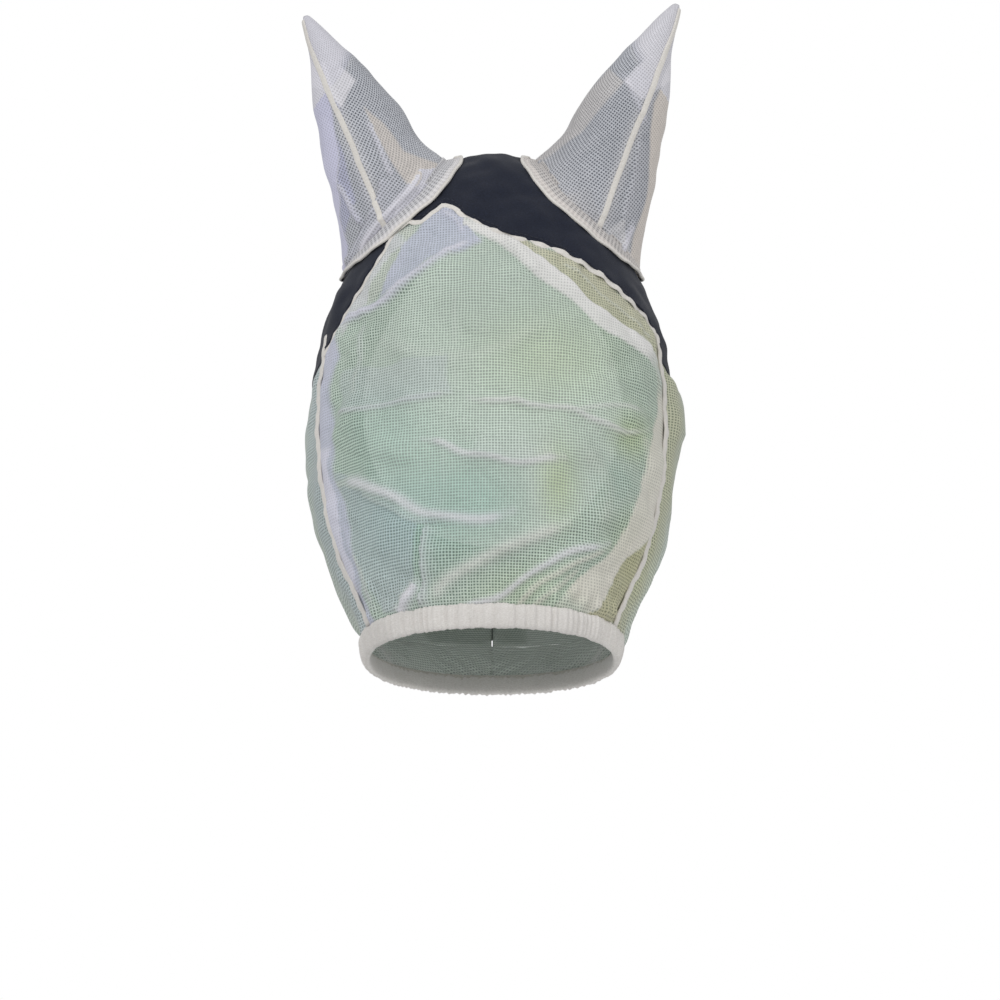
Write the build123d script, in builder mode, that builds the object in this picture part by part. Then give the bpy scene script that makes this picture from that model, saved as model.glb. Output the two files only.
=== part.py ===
from build123d import *
import os
from functools import cache
from math import cos, pi, radians, sin, tan

# Horse fly mask with ears, in its worn shape. Millimetres, +Z up, the wearer's face looks along -Y
# and the wearer's left side is +X. The origin is the inner face of the crown at the poll.
os.makedirs("parts", exist_ok=True)

# ---- driving dimensions: the hood ----
HEAD_TILT = 18          # degrees the nose reaches forward of the poll
FACE_LENGTH = 341       # poll to the lower edge of the nose band, down the face
HALF_WIDTH = 124        # half the width across the cheeks
HOOD_DEPTH = 265        # forehead to jowl
SQUARENESS = 2.2        # 2 is a true ellipse, more is squarer

# ---- fabric thicknesses ----
MESH = 0.8              # polyester mesh with its seam allowance
KNIT = 1.2              # stretch knit of the crown and throat
TAPE = 1.0              # bindings, hems, hook tape and loop tape
WEBBING = 1.5           # closing tabs
CASING = 0.9            # gathered mesh of the nose casing
ELASTIC = 1.3           # elastic inside the nose casing

# ---- seams, bands and openings ----
NOSE_BAND = 15          # height of the ruched nose casing
COLLAR = 41             # closed ring of mesh and band below the jaw opening
FLAP_SETBACK = 90       # hinge seam of the jaw flaps, behind the poll line
NECK_TOP = 40           # neck edge of the crown, behind the poll
NECK_SLOPE = 53.8       # degrees of fall of the neck edge towards the throat
BROW_PEAK = 30          # crown seam below the poll, at the middle of the forehead
BROW_DROP = 118         # crown seam below the poll, at the side seam
THROAT_DROP = 32        # fall of the crown seam from the side seam to the flap hinge
THROAT_BAND = 48        # height of the throat band where the flaps meet
BROW_HEM = 14           # folded upper edge of the face mesh
SEAM_WIDTH = 6          # side seams of the face mesh
BINDING = 10            # elastic binding round the neck edge

# ---- ears ----
EAR_TOP = 112           # ear tip above the poll
EAR_ROOT = 90           # foot of the ear cone below the poll, inside the crown
EAR_DEPTH = 38          # half the ear's depth at its base
EAR_SETBACK = -8        # middle of the ear base, behind the poll
EAR_LEAN = -12          # the tip stands this much behind the base
EAR_CUFF = 7            # folded hem where the ear joins the crown
EAR_SLEEVE = 14         # soft sleeve between the fold line and the ear, so that it clears the hem
EAR_FORWARD = 25        # degrees the ear flops forwards
EAR_BACK = 30           # degrees the ear is pinned back
EAR_SEAM = 4            # width of the ridge seam down the front of the ear

# ---- closing tabs ----
TAB_HEIGHT = 25
TAB_REACH = 45          # past the middle, over the other flap
TAB_ROOT = 24           # sewn end on the left flap
TAB_FOLD = 4            # the tab bends here, beside the flaps' meeting line
THROAT_TAB_DROP = 245   # middle of the throat tab below the poll
JAW_TAB_DROP = 280      # middle of the jaw tab below the poll
HOOK_MARGIN = 3         # tab left bare round its hook tape

# ---- clearances ----
GAP = 0.4               # between pieces that move past each other
LINING = 0.2            # elastic inside its casing
REACH = 400             # length of a cutting block, beyond the whole mask

# Hood form: share of the length down from the poll, share of the half-width, then the widest
# line, the front and the back as shares of the depth.
STATIONS = [
    (0.00, 0.270, 0.010, 0.100, 0.110),
    (0.04, 0.450, 0.020, 0.150, 0.190),
    (0.12, 0.650, 0.050, 0.195, 0.300),
    (0.22, 0.820, 0.110, 0.225, 0.450),
    (0.32, 0.925, 0.160, 0.250, 0.600),
    (0.44, 0.990, 0.190, 0.265, 0.700),
    (0.57, 1.000, 0.190, 0.265, 0.735),
    (0.70, 0.950, 0.170, 0.250, 0.695),
    (0.84, 0.830, 0.150, 0.225, 0.575),
    (0.92, 0.720, 0.135, 0.205, 0.485),
    (1.00, 0.655, 0.125, 0.195, 0.430),
]
DOME_SHARE = 0.32       # the crown's dome ends here, where the sides stand upright
SECTION_POINTS = 16

# Ear form: share of the height up from the root, inner and outer edge as shares of HALF_WIDTH,
# and half the depth as a share of EAR_DEPTH.
EAR_STATIONS = [
    (0.00, 0.060, 0.800, 1.00),
    (0.22, 0.090, 0.815, 0.98),
    (0.43, 0.190, 0.885, 0.90),
    (0.56, 0.395, 0.927, 0.75),
    (0.70, 0.530, 0.960, 0.58),
    (0.86, 0.760, 0.970, 0.32),
    (1.00, 0.970, 1.030, 0.12),
]
EAR_HINGE_INNER = (0.25 * HALF_WIDTH, 4)      # inner end of the ear's fold line, across and up
EAR_HINGE_OUTER = (0.80 * HALF_WIDTH, -66)    # outer end of the same line

# ---- planes ----
tilt = radians(HEAD_TILT)
HEAD = Plane(origin=(0, 0, 0), x_dir=(1, 0, 0), z_dir=(0, sin(tilt), cos(tilt)))
BACKWARD = HEAD.y_dir
SIDE_SEAM = Plane(origin=(0, 0, 0), x_dir=(1, 0, 0), z_dir=BACKWARD)
FLAP_SEAM = SIDE_SEAM.offset(FLAP_SETBACK)
PROFILE = Plane(origin=(0, 0, 0), x_dir=BACKWARD, z_dir=(1, 0, 0))   # side view, x is backward
NECK = Plane(
    origin=HEAD.from_local_coords((0, NECK_TOP, 0)),
    x_dir=(1, 0, 0),
    z_dir=HEAD.from_local_coords((0, sin(radians(NECK_SLOPE)), cos(radians(NECK_SLOPE)))),
)
COLLAR_TOP = HEAD.offset(COLLAR - FACE_LENGTH)
BAND_TOP = HEAD.offset(NOSE_BAND - FACE_LENGTH)


def section_points(half_width, widest, front, back):
    """Closed section of the hood, from the middle of the front: a squared ellipse, deeper behind."""
    points = []
    for step in range(SECTION_POINTS):
        angle = 2 * pi * step / SECTION_POINTS - pi / 2
        across, along = cos(angle), sin(angle)
        reach = back - widest if along > 0 else widest + front
        u = half_width * abs(across) ** (2 / SQUARENESS) * (1 if across > 0 else -1)
        v = widest + reach * abs(along) ** (2 / SQUARENESS) * (1 if along > 0 else -1)
        points.append((u, v))
    return points


@cache
def hood_form(skin):
    """Solid inside of the hood, grown outwards by skin."""
    with BuildPart() as form:
        for down, width, widest, front, back in STATIONS:
            rise = skin * max(0, 1 - down / DOME_SHARE)
            with BuildSketch(HEAD.offset(rise - down * FACE_LENGTH)):
                with BuildLine():
                    Spline(
                        section_points(
                            width * HALF_WIDTH + skin,
                            widest * HOOD_DEPTH,
                            front * HOOD_DEPTH + skin,
                            back * HOOD_DEPTH + skin,
                        ),
                        periodic=True,
                    )
                make_face()
        loft()
    return form.part


@cache
def hood_layer(inner, outer):
    """One layer of fabric over the hood, open at the nose."""
    with BuildPart() as layer:
        add(hood_form(outer))
        add(hood_form(inner), mode=Mode.SUBTRACT)
    return layer.part


def ear_form(skin):
    """Solid inside of the left ear cone, grown outwards by skin."""
    with BuildPart() as form:
        for up, inner, outer, depth in EAR_STATIONS:
            height = up * (EAR_TOP + EAR_ROOT) - EAR_ROOT + skin * up
            middle = (inner + outer) / 2 * HALF_WIDTH
            with BuildSketch(Plane.XY.offset(height)):
                with Locations((middle, EAR_SETBACK + EAR_LEAN * up)):
                    Ellipse((outer - inner) / 2 * HALF_WIDTH + skin, depth * EAR_DEPTH + skin)
        loft()
    return form.part


def ear_layer(inner, outer):
    """One layer of fabric over the left ear."""
    with BuildPart() as layer:
        add(ear_form(outer))
        add(ear_form(inner), mode=Mode.SUBTRACT)
    return layer.part


def save(piece, name):
    """Label a finished piece and write it as its own file."""
    piece.part.label = name
    export_step(piece.part, f"parts/{name}.step")


def save_pair(piece, name):
    """Write a left piece and its mirror image on the right."""
    save(piece, f"left_{name}")
    with BuildPart() as other:
        mirror(piece.part, about=Plane.YZ)
    save(other, f"right_{name}")


# ---- zones that share the hood between its panels ----
with BuildPart() as crown_zone:
    with BuildSketch(Plane.XZ) as brow:
        with BuildLine():
            side_drop = -BROW_DROP * cos(tilt)
            side_x = 0.855 * HALF_WIDTH
            arch = Spline(
                (-side_x, side_drop),
                (-0.645 * HALF_WIDTH, 0.63 * side_drop),
                (-0.36 * HALF_WIDTH, 0.38 * side_drop),
                (0, -BROW_PEAK),
                (0.36 * HALF_WIDTH, 0.38 * side_drop),
                (0.645 * HALF_WIDTH, 0.63 * side_drop),
                (side_x, side_drop),
            )
            Polyline(
                arch @ 1,
                (REACH, side_drop),
                (REACH, REACH),
                (-REACH, REACH),
                (-REACH, side_drop),
                arch @ 0,
            )
        make_face()
    extrude(amount=REACH, both=True)
    split(bisect_by=SIDE_SEAM, keep=Keep.BOTTOM)
    hinge_drop = BROW_DROP + THROAT_DROP
    meeting = HOOD_DEPTH * 0.735
    neck_fall = tan(radians(NECK_SLOPE))
    throat_drop = (meeting - NECK_TOP) * neck_fall + THROAT_BAND
    with BuildSketch(PROFILE):
        Polygon(
            (0, REACH),
            (0, -BROW_DROP),
            (FLAP_SETBACK, -hinge_drop),
            (meeting, -throat_drop),
            (REACH, -throat_drop),
            (REACH, REACH),
            align=None,
        )
    extrude(amount=REACH, both=True)

with BuildPart() as flap_zone:
    with BuildSketch(PROFILE):
        Polygon(
            (FLAP_SETBACK, REACH),
            (FLAP_SETBACK, COLLAR - FACE_LENGTH),
            (REACH, COLLAR - FACE_LENGTH),
            (REACH, REACH),
            align=None,
        )
    extrude(amount=REACH, both=True)


def slab(half, plane):
    """Block of the given half thickness lying along a plane."""
    with BuildPart() as block:
        with BuildSketch(plane):
            Rectangle(2 * REACH, 2 * REACH)
        extrude(amount=half, both=True)
    return block.part


def tab_zone(near, far, drop, height):
    """Block behind the hood, from near to far across and centred on a drop down the face."""
    with BuildPart() as block:
        with BuildSketch(SIDE_SEAM):
            with Locations(((near + far) / 2, drop)):
                Rectangle(abs(far - near), height)
        extrude(amount=REACH)
    return block.part


# ---- ear frame: x along the fold line, y backward, z out of the crown ----
fold_run = EAR_HINGE_OUTER[0] - EAR_HINGE_INNER[0]
fold_fall = EAR_HINGE_INNER[1] - EAR_HINGE_OUTER[1]
EAR_FOLD = Plane(
    origin=(EAR_HINGE_INNER[0], EAR_SETBACK, EAR_HINGE_INNER[1]),
    x_dir=(fold_run, 0, -fold_fall),
    z_dir=(fold_fall, 0, fold_run),
)
ear_root_x = sum(EAR_STATIONS[0][1:3]) / 2 * HALF_WIDTH
ear_tip_x = EAR_STATIONS[-1][2] * HALF_WIDTH       # the seam runs out at the tip's outer edge
RIDGE = Plane(
    origin=(ear_tip_x, EAR_SETBACK, EAR_TOP),
    x_dir=(0, 1, 0),
    z_dir=(EAR_TOP + EAR_ROOT, 0, ear_root_x - ear_tip_x),
)

knit_layer = hood_layer(0, KNIT)
mesh_layer = hood_layer(0, MESH)
left_ear_inside = ear_form(0)
left_ear_wall = ear_layer(0, MESH)
cuff_top = hood_form(KNIT + EAR_CUFF)


def ear_roof(lift):
    """Room that the ear may use while it flops and is pinned, above its fold line."""
    with BuildPart() as roof:
        with BuildSketch(Plane(origin=EAR_FOLD.origin, x_dir=(0, 1, 0), z_dir=EAR_FOLD.x_dir)):
            Polygon(
                (0, lift),
                (-REACH, lift + REACH * tan(radians(EAR_FORWARD))),
                (-REACH, 2 * REACH),
                (REACH, 2 * REACH),
                (REACH, lift + REACH * tan(radians(EAR_BACK))),
                align=None,
            )
        extrude(amount=REACH, both=True)
    return roof.part


# ---- the hood, on the head ----
with BuildPart() as crown_panel:
    add(knit_layer)
    add(crown_zone.part, mode=Mode.INTERSECT)
    split(bisect_by=NECK, keep=Keep.BOTTOM)
    split(bisect_by=FLAP_SEAM, keep=Keep.BOTTOM)
    add(left_ear_inside, mode=Mode.SUBTRACT)
    add(mirror(left_ear_inside, about=Plane.YZ, mode=Mode.PRIVATE), mode=Mode.SUBTRACT)
save(crown_panel, "crown_panel")

with BuildPart() as face_panel:
    add(mesh_layer)
    split(bisect_by=SIDE_SEAM, keep=Keep.BOTTOM)
    split(bisect_by=BAND_TOP, keep=Keep.TOP)
    add(crown_zone.part, mode=Mode.SUBTRACT)
save(face_panel, "face_panel")

with BuildPart() as cheek_panel:
    add(mesh_layer)
    split(bisect_by=SIDE_SEAM, keep=Keep.TOP)
    split(bisect_by=BAND_TOP, keep=Keep.TOP)
    split(bisect_by=Plane.YZ, keep=Keep.TOP)
    add(crown_zone.part, mode=Mode.SUBTRACT)
    add(flap_zone.part, mode=Mode.SUBTRACT)
save_pair(cheek_panel, "cheek_panel")

with BuildPart() as brow_hem:
    add(hood_layer(MESH, MESH + TAPE))
    split(bisect_by=SIDE_SEAM, keep=Keep.BOTTOM)
    add(crown_zone.part.moved(Location((0, 0, -BROW_HEM))), mode=Mode.INTERSECT)
    add(crown_zone.part, mode=Mode.SUBTRACT)
save(brow_hem, "brow_hem")

with BuildPart() as side_seam:
    add(hood_layer(MESH, MESH + TAPE))
    add(slab(SEAM_WIDTH / 2, SIDE_SEAM), mode=Mode.INTERSECT)
    split(bisect_by=BAND_TOP, keep=Keep.TOP)
    split(bisect_by=Plane.YZ, keep=Keep.TOP)
    add(crown_zone.part, mode=Mode.SUBTRACT)
    add(brow_hem.part, mode=Mode.SUBTRACT)
save_pair(side_seam, "side_seam")

with BuildPart() as nose_casing:
    add(hood_layer(0, 2 * CASING + 2 * LINING + ELASTIC))
    split(bisect_by=BAND_TOP, keep=Keep.BOTTOM)
    with BuildPart(mode=Mode.PRIVATE) as pocket:
        add(hood_layer(CASING, CASING + 2 * LINING + ELASTIC))
        split(bisect_by=BAND_TOP.offset(-CASING), keep=Keep.BOTTOM)
        split(bisect_by=BAND_TOP.offset(CASING - NOSE_BAND), keep=Keep.TOP)
    add(pocket.part, mode=Mode.SUBTRACT)
save(nose_casing, "nose_casing")

with BuildPart() as nose_elastic:
    add(hood_layer(CASING + LINING, CASING + LINING + ELASTIC))
    split(bisect_by=BAND_TOP.offset(-CASING - LINING), keep=Keep.BOTTOM)
    split(bisect_by=BAND_TOP.offset(CASING + LINING - NOSE_BAND), keep=Keep.TOP)
save(nose_elastic, "nose_elastic")

# ---- elastic binding round the neck edge, in one run over crown and flaps ----
with BuildPart() as binding_run:
    add(hood_layer(KNIT, KNIT + TAPE))
    split(bisect_by=NECK, keep=Keep.BOTTOM)
    split(bisect_by=NECK.offset(-BINDING), keep=Keep.TOP)
with BuildPart() as neck_binding:
    add(binding_run.part)
    split(bisect_by=FLAP_SEAM, keep=Keep.BOTTOM)
save(neck_binding, "neck_binding")

# ---- jaw flaps: each opens sideways on its hinge seam ----
FLAP_FRONT = FLAP_SEAM.offset(GAP)
FLAP_FOOT = COLLAR_TOP.offset(GAP)
FLAP_EDGE = Plane.YZ.offset(GAP / 2)


def flap_piece(layer, zone_mode):
    """Left-hand flap cut from a layer: the throat band (INTERSECT) or the mesh below (SUBTRACT)."""
    with BuildPart() as piece:
        add(layer)
        split(bisect_by=FLAP_FRONT, keep=Keep.TOP)
        split(bisect_by=FLAP_FOOT, keep=Keep.TOP)
        split(bisect_by=FLAP_EDGE, keep=Keep.TOP)
        split(bisect_by=NECK, keep=Keep.BOTTOM)
        add(crown_zone.part, mode=zone_mode)
    return piece


throat_band = flap_piece(knit_layer, Mode.INTERSECT)
jaw_flap = flap_piece(mesh_layer, Mode.SUBTRACT)
flap_binding = flap_piece(binding_run.part, Mode.INTERSECT)
save_pair(throat_band, "throat_band")
save_pair(jaw_flap, "jaw_flap")
save_pair(flap_binding, "flap_binding")

# ---- closing tabs: hook tape under a webbing tab, loop tape on the right flap ----
HOOK_SKIN = KNIT + TAPE + GAP
TAB_SKIN = HOOK_SKIN + TAPE
loop_layer = {"throat": hood_layer(KNIT, KNIT + TAPE), "jaw": hood_layer(MESH, KNIT + TAPE)}
root_layer = {"throat": hood_layer(KNIT, TAB_SKIN + WEBBING), "jaw": hood_layer(MESH, TAB_SKIN + WEBBING)}
hook_layer = hood_layer(HOOK_SKIN, TAB_SKIN)
tab_layer = hood_layer(TAB_SKIN, TAB_SKIN + WEBBING)
for side, drop in (("throat", THROAT_TAB_DROP), ("jaw", JAW_TAB_DROP)):
    with BuildPart() as tab:
        add(tab_layer)
        add(tab_zone(-TAB_REACH, TAB_FOLD - GAP, drop, TAB_HEIGHT), mode=Mode.INTERSECT)
    save(tab, f"{side}_tab")

    with BuildPart() as tab_root:
        add(root_layer[side])
        add(tab_zone(TAB_FOLD, TAB_ROOT, drop, TAB_HEIGHT), mode=Mode.INTERSECT)
    save(tab_root, f"{side}_tab_root")

    hook_height = TAB_HEIGHT - 2 * HOOK_MARGIN
    with BuildPart() as hook_tape:
        add(hook_layer)
        add(tab_zone(HOOK_MARGIN - TAB_REACH, -HOOK_MARGIN, drop, hook_height), mode=Mode.INTERSECT)
    save(hook_tape, f"{side}_hook_tape")

    with BuildPart() as loop_tape:
        add(loop_layer[side])
        add(tab_zone(-TAB_REACH - HOOK_MARGIN, -HOOK_MARGIN, drop, TAB_HEIGHT), mode=Mode.INTERSECT)
    save(loop_tape, f"{side}_loop_tape")

# ---- ears: cuff and gusset on the crown, two panels and a ridge seam that flop ----
with BuildPart() as ear_cuff:
    add(ear_layer(0, MESH + TAPE))
    add(cuff_top, mode=Mode.INTERSECT)
    add(hood_form(KNIT), mode=Mode.SUBTRACT)
save_pair(ear_cuff, "ear_cuff")

with BuildPart() as ear_gusset:
    add(left_ear_wall)
    add(cuff_top, mode=Mode.SUBTRACT)
    add(ear_roof(EAR_SLEEVE - GAP), mode=Mode.SUBTRACT)
save_pair(ear_gusset, "ear_gusset")

for name, keep in (("ear_outer_panel", Keep.TOP), ("ear_inner_panel", Keep.BOTTOM)):
    with BuildPart() as ear_panel:
        add(left_ear_wall)
        add(ear_roof(EAR_SLEEVE), mode=Mode.INTERSECT)
        add(cuff_top, mode=Mode.SUBTRACT)
        split(bisect_by=RIDGE, keep=keep)
    save_pair(ear_panel, name)

with BuildPart() as ear_seam:
    add(ear_layer(MESH, MESH + TAPE))
    add(slab(EAR_SEAM / 2, RIDGE), mode=Mode.INTERSECT)
    add(ear_roof(EAR_SLEEVE), mode=Mode.INTERSECT)
    add(cuff_top, mode=Mode.SUBTRACT)
    split(bisect_by=Plane.XZ.offset(-EAR_SETBACK), keep=Keep.TOP)
save_pair(ear_seam, "ear_seam")
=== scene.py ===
import math

import bmesh
import bpy
import numpy as np
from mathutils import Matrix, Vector


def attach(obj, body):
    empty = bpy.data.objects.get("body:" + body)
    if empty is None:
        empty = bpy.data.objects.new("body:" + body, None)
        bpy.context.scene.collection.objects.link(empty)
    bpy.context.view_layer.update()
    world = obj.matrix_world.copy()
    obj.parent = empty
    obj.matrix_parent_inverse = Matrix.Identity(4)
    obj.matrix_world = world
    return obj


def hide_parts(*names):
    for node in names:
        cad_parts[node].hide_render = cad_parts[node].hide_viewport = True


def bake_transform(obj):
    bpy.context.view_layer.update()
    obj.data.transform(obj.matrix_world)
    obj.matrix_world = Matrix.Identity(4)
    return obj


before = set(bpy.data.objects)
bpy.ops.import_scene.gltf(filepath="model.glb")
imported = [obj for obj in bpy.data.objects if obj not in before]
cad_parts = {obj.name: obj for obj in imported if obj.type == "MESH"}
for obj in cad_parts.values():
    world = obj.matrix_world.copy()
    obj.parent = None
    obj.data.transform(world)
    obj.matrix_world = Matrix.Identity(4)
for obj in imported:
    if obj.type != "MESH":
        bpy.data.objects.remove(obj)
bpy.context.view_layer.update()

# ---------------------------------------------------------------- sizes, in millimetres
MM = 0.001
SIDES = (("left", 1), ("right", -1))
TAB_DROPS = (("throat", 245.0), ("jaw", 280.0))     # the closing tabs' middles, down from the poll
TILT = math.radians(18)         # the nose reaches forward of the poll
FACE_LENGTH = 341.0             # poll to the lower edge of the nose band
HALF_WIDTH = 124.0
HOOD_DEPTH = 265.0
SQUARENESS = 2.2
KNIT = 1.2                      # stretch knit
WEB = 0.45                      # thickness of the mesh itself
CAP = 34.0                      # radius of the crown's flat top
CAP_RISE = 0.6
NOSE_BAND = 15.0
COLLAR = 41.0                   # cheek mesh that runs on round the back, above the nose edge
FLAP_SETBACK = 90.0             # the seam where the jaw flaps hinge
NECK_TOP = 40.0
NECK_SLOPE = math.radians(53.8)
EAR_TOP, EAR_ROOT = 112.0, 90.0
EAR_HEIGHT = EAR_TOP + EAR_ROOT
EAR_DEPTH, EAR_SETBACK, EAR_LEAN = 38.0, -8.0, -12.0

# Hood: share of the length, half-width, widest line, front and back (shares of the depth).
STATIONS = np.array([
    (0.00, 0.270, 0.010, 0.100, 0.110),
    (0.04, 0.450, 0.020, 0.150, 0.190),
    (0.12, 0.650, 0.050, 0.195, 0.300),
    (0.22, 0.820, 0.110, 0.225, 0.450),
    (0.32, 0.925, 0.160, 0.250, 0.600),
    (0.44, 0.990, 0.190, 0.265, 0.700),
    (0.57, 1.000, 0.190, 0.265, 0.735),
    (0.70, 0.950, 0.170, 0.250, 0.695),
    (0.84, 0.830, 0.150, 0.225, 0.575),
    (0.92, 0.720, 0.135, 0.205, 0.485),
    (1.00, 0.655, 0.125, 0.195, 0.430),
])
DOME_SHARE = 0.32
# Ear: share of the height, inner and outer edge (shares of the half-width), half the depth.
EAR_STATIONS = np.array([
    (0.00, 0.060, 0.800, 1.00),
    (0.22, 0.090, 0.815, 0.98),
    (0.43, 0.190, 0.885, 0.90),
    (0.56, 0.395, 0.927, 0.75),
    (0.70, 0.530, 0.960, 0.58),
    (0.86, 0.760, 0.970, 0.32),
    (1.00, 0.970, 1.030, 0.12),
])


# ---------------------------------------------------------------- curves and surfaces
def smooth_rows(table, where):
    """Values of a table's columns at where, on a smooth curve through its rows."""
    keys, values = table[:, 0], table[:, 1:]
    slopes = np.gradient(values, keys, axis=0)
    where = np.clip(where, keys[0], keys[-1])
    i = np.clip(np.searchsorted(keys, where, side="right") - 1, 0, len(keys) - 2)
    span = keys[i + 1] - keys[i]
    t = ((where - keys[i]) / span)[..., None]
    span = span[..., None]
    h00 = 2 * t**3 - 3 * t**2 + 1
    h10 = t**3 - 2 * t**2 + t
    h01 = -2 * t**3 + 3 * t**2
    h11 = t**3 - t**2
    return h00 * values[i] + h10 * span * slopes[i] + h01 * values[i + 1] + h11 * span * slopes[i + 1]


def signed_power(x, power):
    return np.sign(x) * np.abs(x) ** power


def head_coords(a, q, lift=0.0):
    """Across, backward and up in the head's own axes, at angle a round from the front and q down."""
    a, q, lift = np.broadcast_arrays(np.asarray(a, float), np.asarray(q, float), np.asarray(lift, float))
    rows = smooth_rows(STATIONS, np.maximum(q, 0) / FACE_LENGTH)
    width = rows[..., 0] * HALF_WIDTH
    widest, front, back = (rows[..., k] * HOOD_DEPTH for k in (1, 2, 3))
    across, along = np.sin(a), -np.cos(a)
    reach = np.where(along > 0, back - widest, widest + front) + lift
    shrink = np.clip(1 + np.minimum(q, 0) / CAP, 0, 1)
    u = (width + lift) * signed_power(across, 2 / SQUARENESS) * shrink
    v = widest + reach * signed_power(along, 2 / SQUARENESS) * shrink
    rise = CAP_RISE * (1 - shrink**2)
    h = rise - np.maximum(q, 0) + lift * np.clip(1 - q / FACE_LENGTH / DOME_SHARE, 0, 1)
    return u, v, h


def to_world(u, v, h):
    c, s = math.cos(TILT), math.sin(TILT)
    return np.stack([u, v * c + h * s, -v * s + h * c], axis=-1)


def to_head(p):
    c, s = math.cos(TILT), math.sin(TILT)
    return p[..., 0], p[..., 1] * c - p[..., 2] * s, p[..., 1] * s + p[..., 2] * c


def hood(a, q, lift=0.0):
    return to_world(*head_coords(a, q, lift))


def unit(vectors):
    return vectors / np.maximum(np.linalg.norm(vectors, axis=-1, keepdims=True), 1e-9)


def hood_normal(a, q):
    da, dq = 0.03, 1.5
    along = hood(a + da, q) - hood(a - da, q)
    down = hood(a, q + dq) - hood(a, q - dq)
    return unit(np.cross(down, along))


def hood_excess(p):
    """Above zero outside the hood's form, and below it inside."""
    u, v, h = to_head(p)
    rows = smooth_rows(STATIONS, np.clip(-h, 0, FACE_LENGTH) / FACE_LENGTH)
    width, widest = rows[..., 0] * HALF_WIDTH, rows[..., 1] * HOOD_DEPTH
    reach = np.where(v > widest, rows[..., 3] * HOOD_DEPTH - widest, widest + rows[..., 2] * HOOD_DEPTH)
    ratio = (np.abs(u) / width) ** SQUARENESS + (np.abs(v - widest) / reach) ** SQUARENESS
    return np.maximum(ratio - 1, h / 10)


def drop_to_hood(p):
    """Nearest points of the hood's form, and its outward direction there."""
    p = np.array(p, float)
    for _ in range(6):
        value = hood_excess(p)
        changes = [hood_excess(p + step) - hood_excess(p - step) for step in np.eye(3) * 0.2]
        slope = np.stack(changes, axis=-1) / 0.4
        p = p - slope * np.clip(value / np.maximum((slope**2).sum(axis=-1), 1e-9), -60, 60)[..., None]
    return p, unit(slope)


arc_angles = np.linspace(-math.pi, math.pi, 1441)
arc_drops = np.linspace(0, FACE_LENGTH, 120)
ring = hood(arc_angles[None, :], arc_drops[:, None])
arc_steps = np.linalg.norm(np.diff(ring, axis=1), axis=-1)
arc_table = np.concatenate([np.zeros((len(arc_drops), 1)), np.cumsum(arc_steps, axis=1)], axis=1)
arc_table -= arc_table[:, [720]]


def arc(a, q):
    """Length round the hood from the middle of the front, in millimetres."""
    col = np.clip((a + math.pi) / (2 * math.pi) * 1440, 0, 1439.999)
    row = np.clip(q / FACE_LENGTH * 119, 0, 118.999)
    i, j = col.astype(int), row.astype(int)
    s, t = col - i, row - j
    near = arc_table[j, i] * (1 - s) + arc_table[j, i + 1] * s
    far = arc_table[j + 1, i] * (1 - s) + arc_table[j + 1, i + 1] * s
    return near * (1 - t) + far * t


def ear_section(z, lift=0.0):
    """Middle of an ear across and backward, its half-width and half its depth, at a height."""
    up = (z + EAR_ROOT) / EAR_HEIGHT
    rows = smooth_rows(EAR_STATIONS, up)
    middle = (rows[..., 0] + rows[..., 1]) / 2 * HALF_WIDTH
    half = (rows[..., 1] - rows[..., 0]) / 2 * HALF_WIDTH + lift
    return middle, EAR_SETBACK + EAR_LEAN * up, half, rows[..., 2] * EAR_DEPTH + lift


def ear(angle, z, lift=0.0, side=1):
    """Point of the ear cone at an angle round from its outer edge (-pi/2 is the front)."""
    middle, setback, half, deep = ear_section(z, lift)
    x = middle + half * np.cos(angle)
    y = setback + deep * np.sin(angle)
    return np.stack([side * x, y, np.broadcast_to(z, x.shape)], axis=-1)


def ear_excess(p):
    """Above zero outside either ear cone."""
    middle, setback, half, deep = ear_section(p[..., 2])
    x, y = (np.abs(p[..., 0]) - middle) / half, (p[..., 1] - setback) / deep
    return x * x + y * y - 1


# ---------------------------------------------------------------- noise and folds
def ripple(p, size, seed, count=18, spread=0.5):
    """Smooth waves of about the given size, the same on every run."""
    rng = np.random.default_rng(seed)
    total = np.zeros(p.shape[:-1])
    for _ in range(count):
        direction = rng.normal(size=p.shape[-1])
        direction /= np.linalg.norm(direction)
        length = size * math.exp(rng.uniform(-spread, spread))
        total += np.sin(p @ direction * (2 * math.pi / length) + rng.uniform(0, 2 * math.pi))
    return total / math.sqrt(count / 2)


def smoothstep(low, high, x):
    t = np.clip((x - low) / (high - low), 0, 1)
    return t * t * (3 - 2 * t)


def to_path(xz, points):
    """Distance to a path, side of it (signed) and share of the way along it."""
    points = np.asarray(points, float)
    legs = np.diff(points, axis=0)
    lengths = np.linalg.norm(legs, axis=1)
    start = np.concatenate([[0], np.cumsum(lengths)])
    best = np.full(xz.shape[0], 1e9)
    signed, share = np.zeros_like(best), np.zeros_like(best)
    for p, leg, length, before in zip(points, legs, lengths, start):
        rel = xz - p
        t = np.clip(rel @ leg / length**2, 0, 1)
        off = rel - t[:, None] * leg
        d = np.linalg.norm(off, axis=1)
        near = d < best
        cross = leg[0] * off[:, 1] - leg[1] * off[:, 0]
        best = np.where(near, d, best)
        signed = np.where(near, np.sign(cross) * d, signed)
        share = np.where(near, (before + t * length) / start[-1], share)
    return best, signed, share


def run_along(points):
    """Length travelled along a path up to each of its points."""
    return np.concatenate([[0], np.cumsum(np.linalg.norm(np.diff(points, axis=0), axis=1))])


def halve(still_low, low, high):
    """The values between low and high where still_low stops being true, by halving."""
    for _ in range(44):
        middle = (low + high) / 2
        keep = still_low(middle)
        low, high = np.where(keep, middle, low), np.where(keep, high, middle)
    return (low + high) / 2


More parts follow.
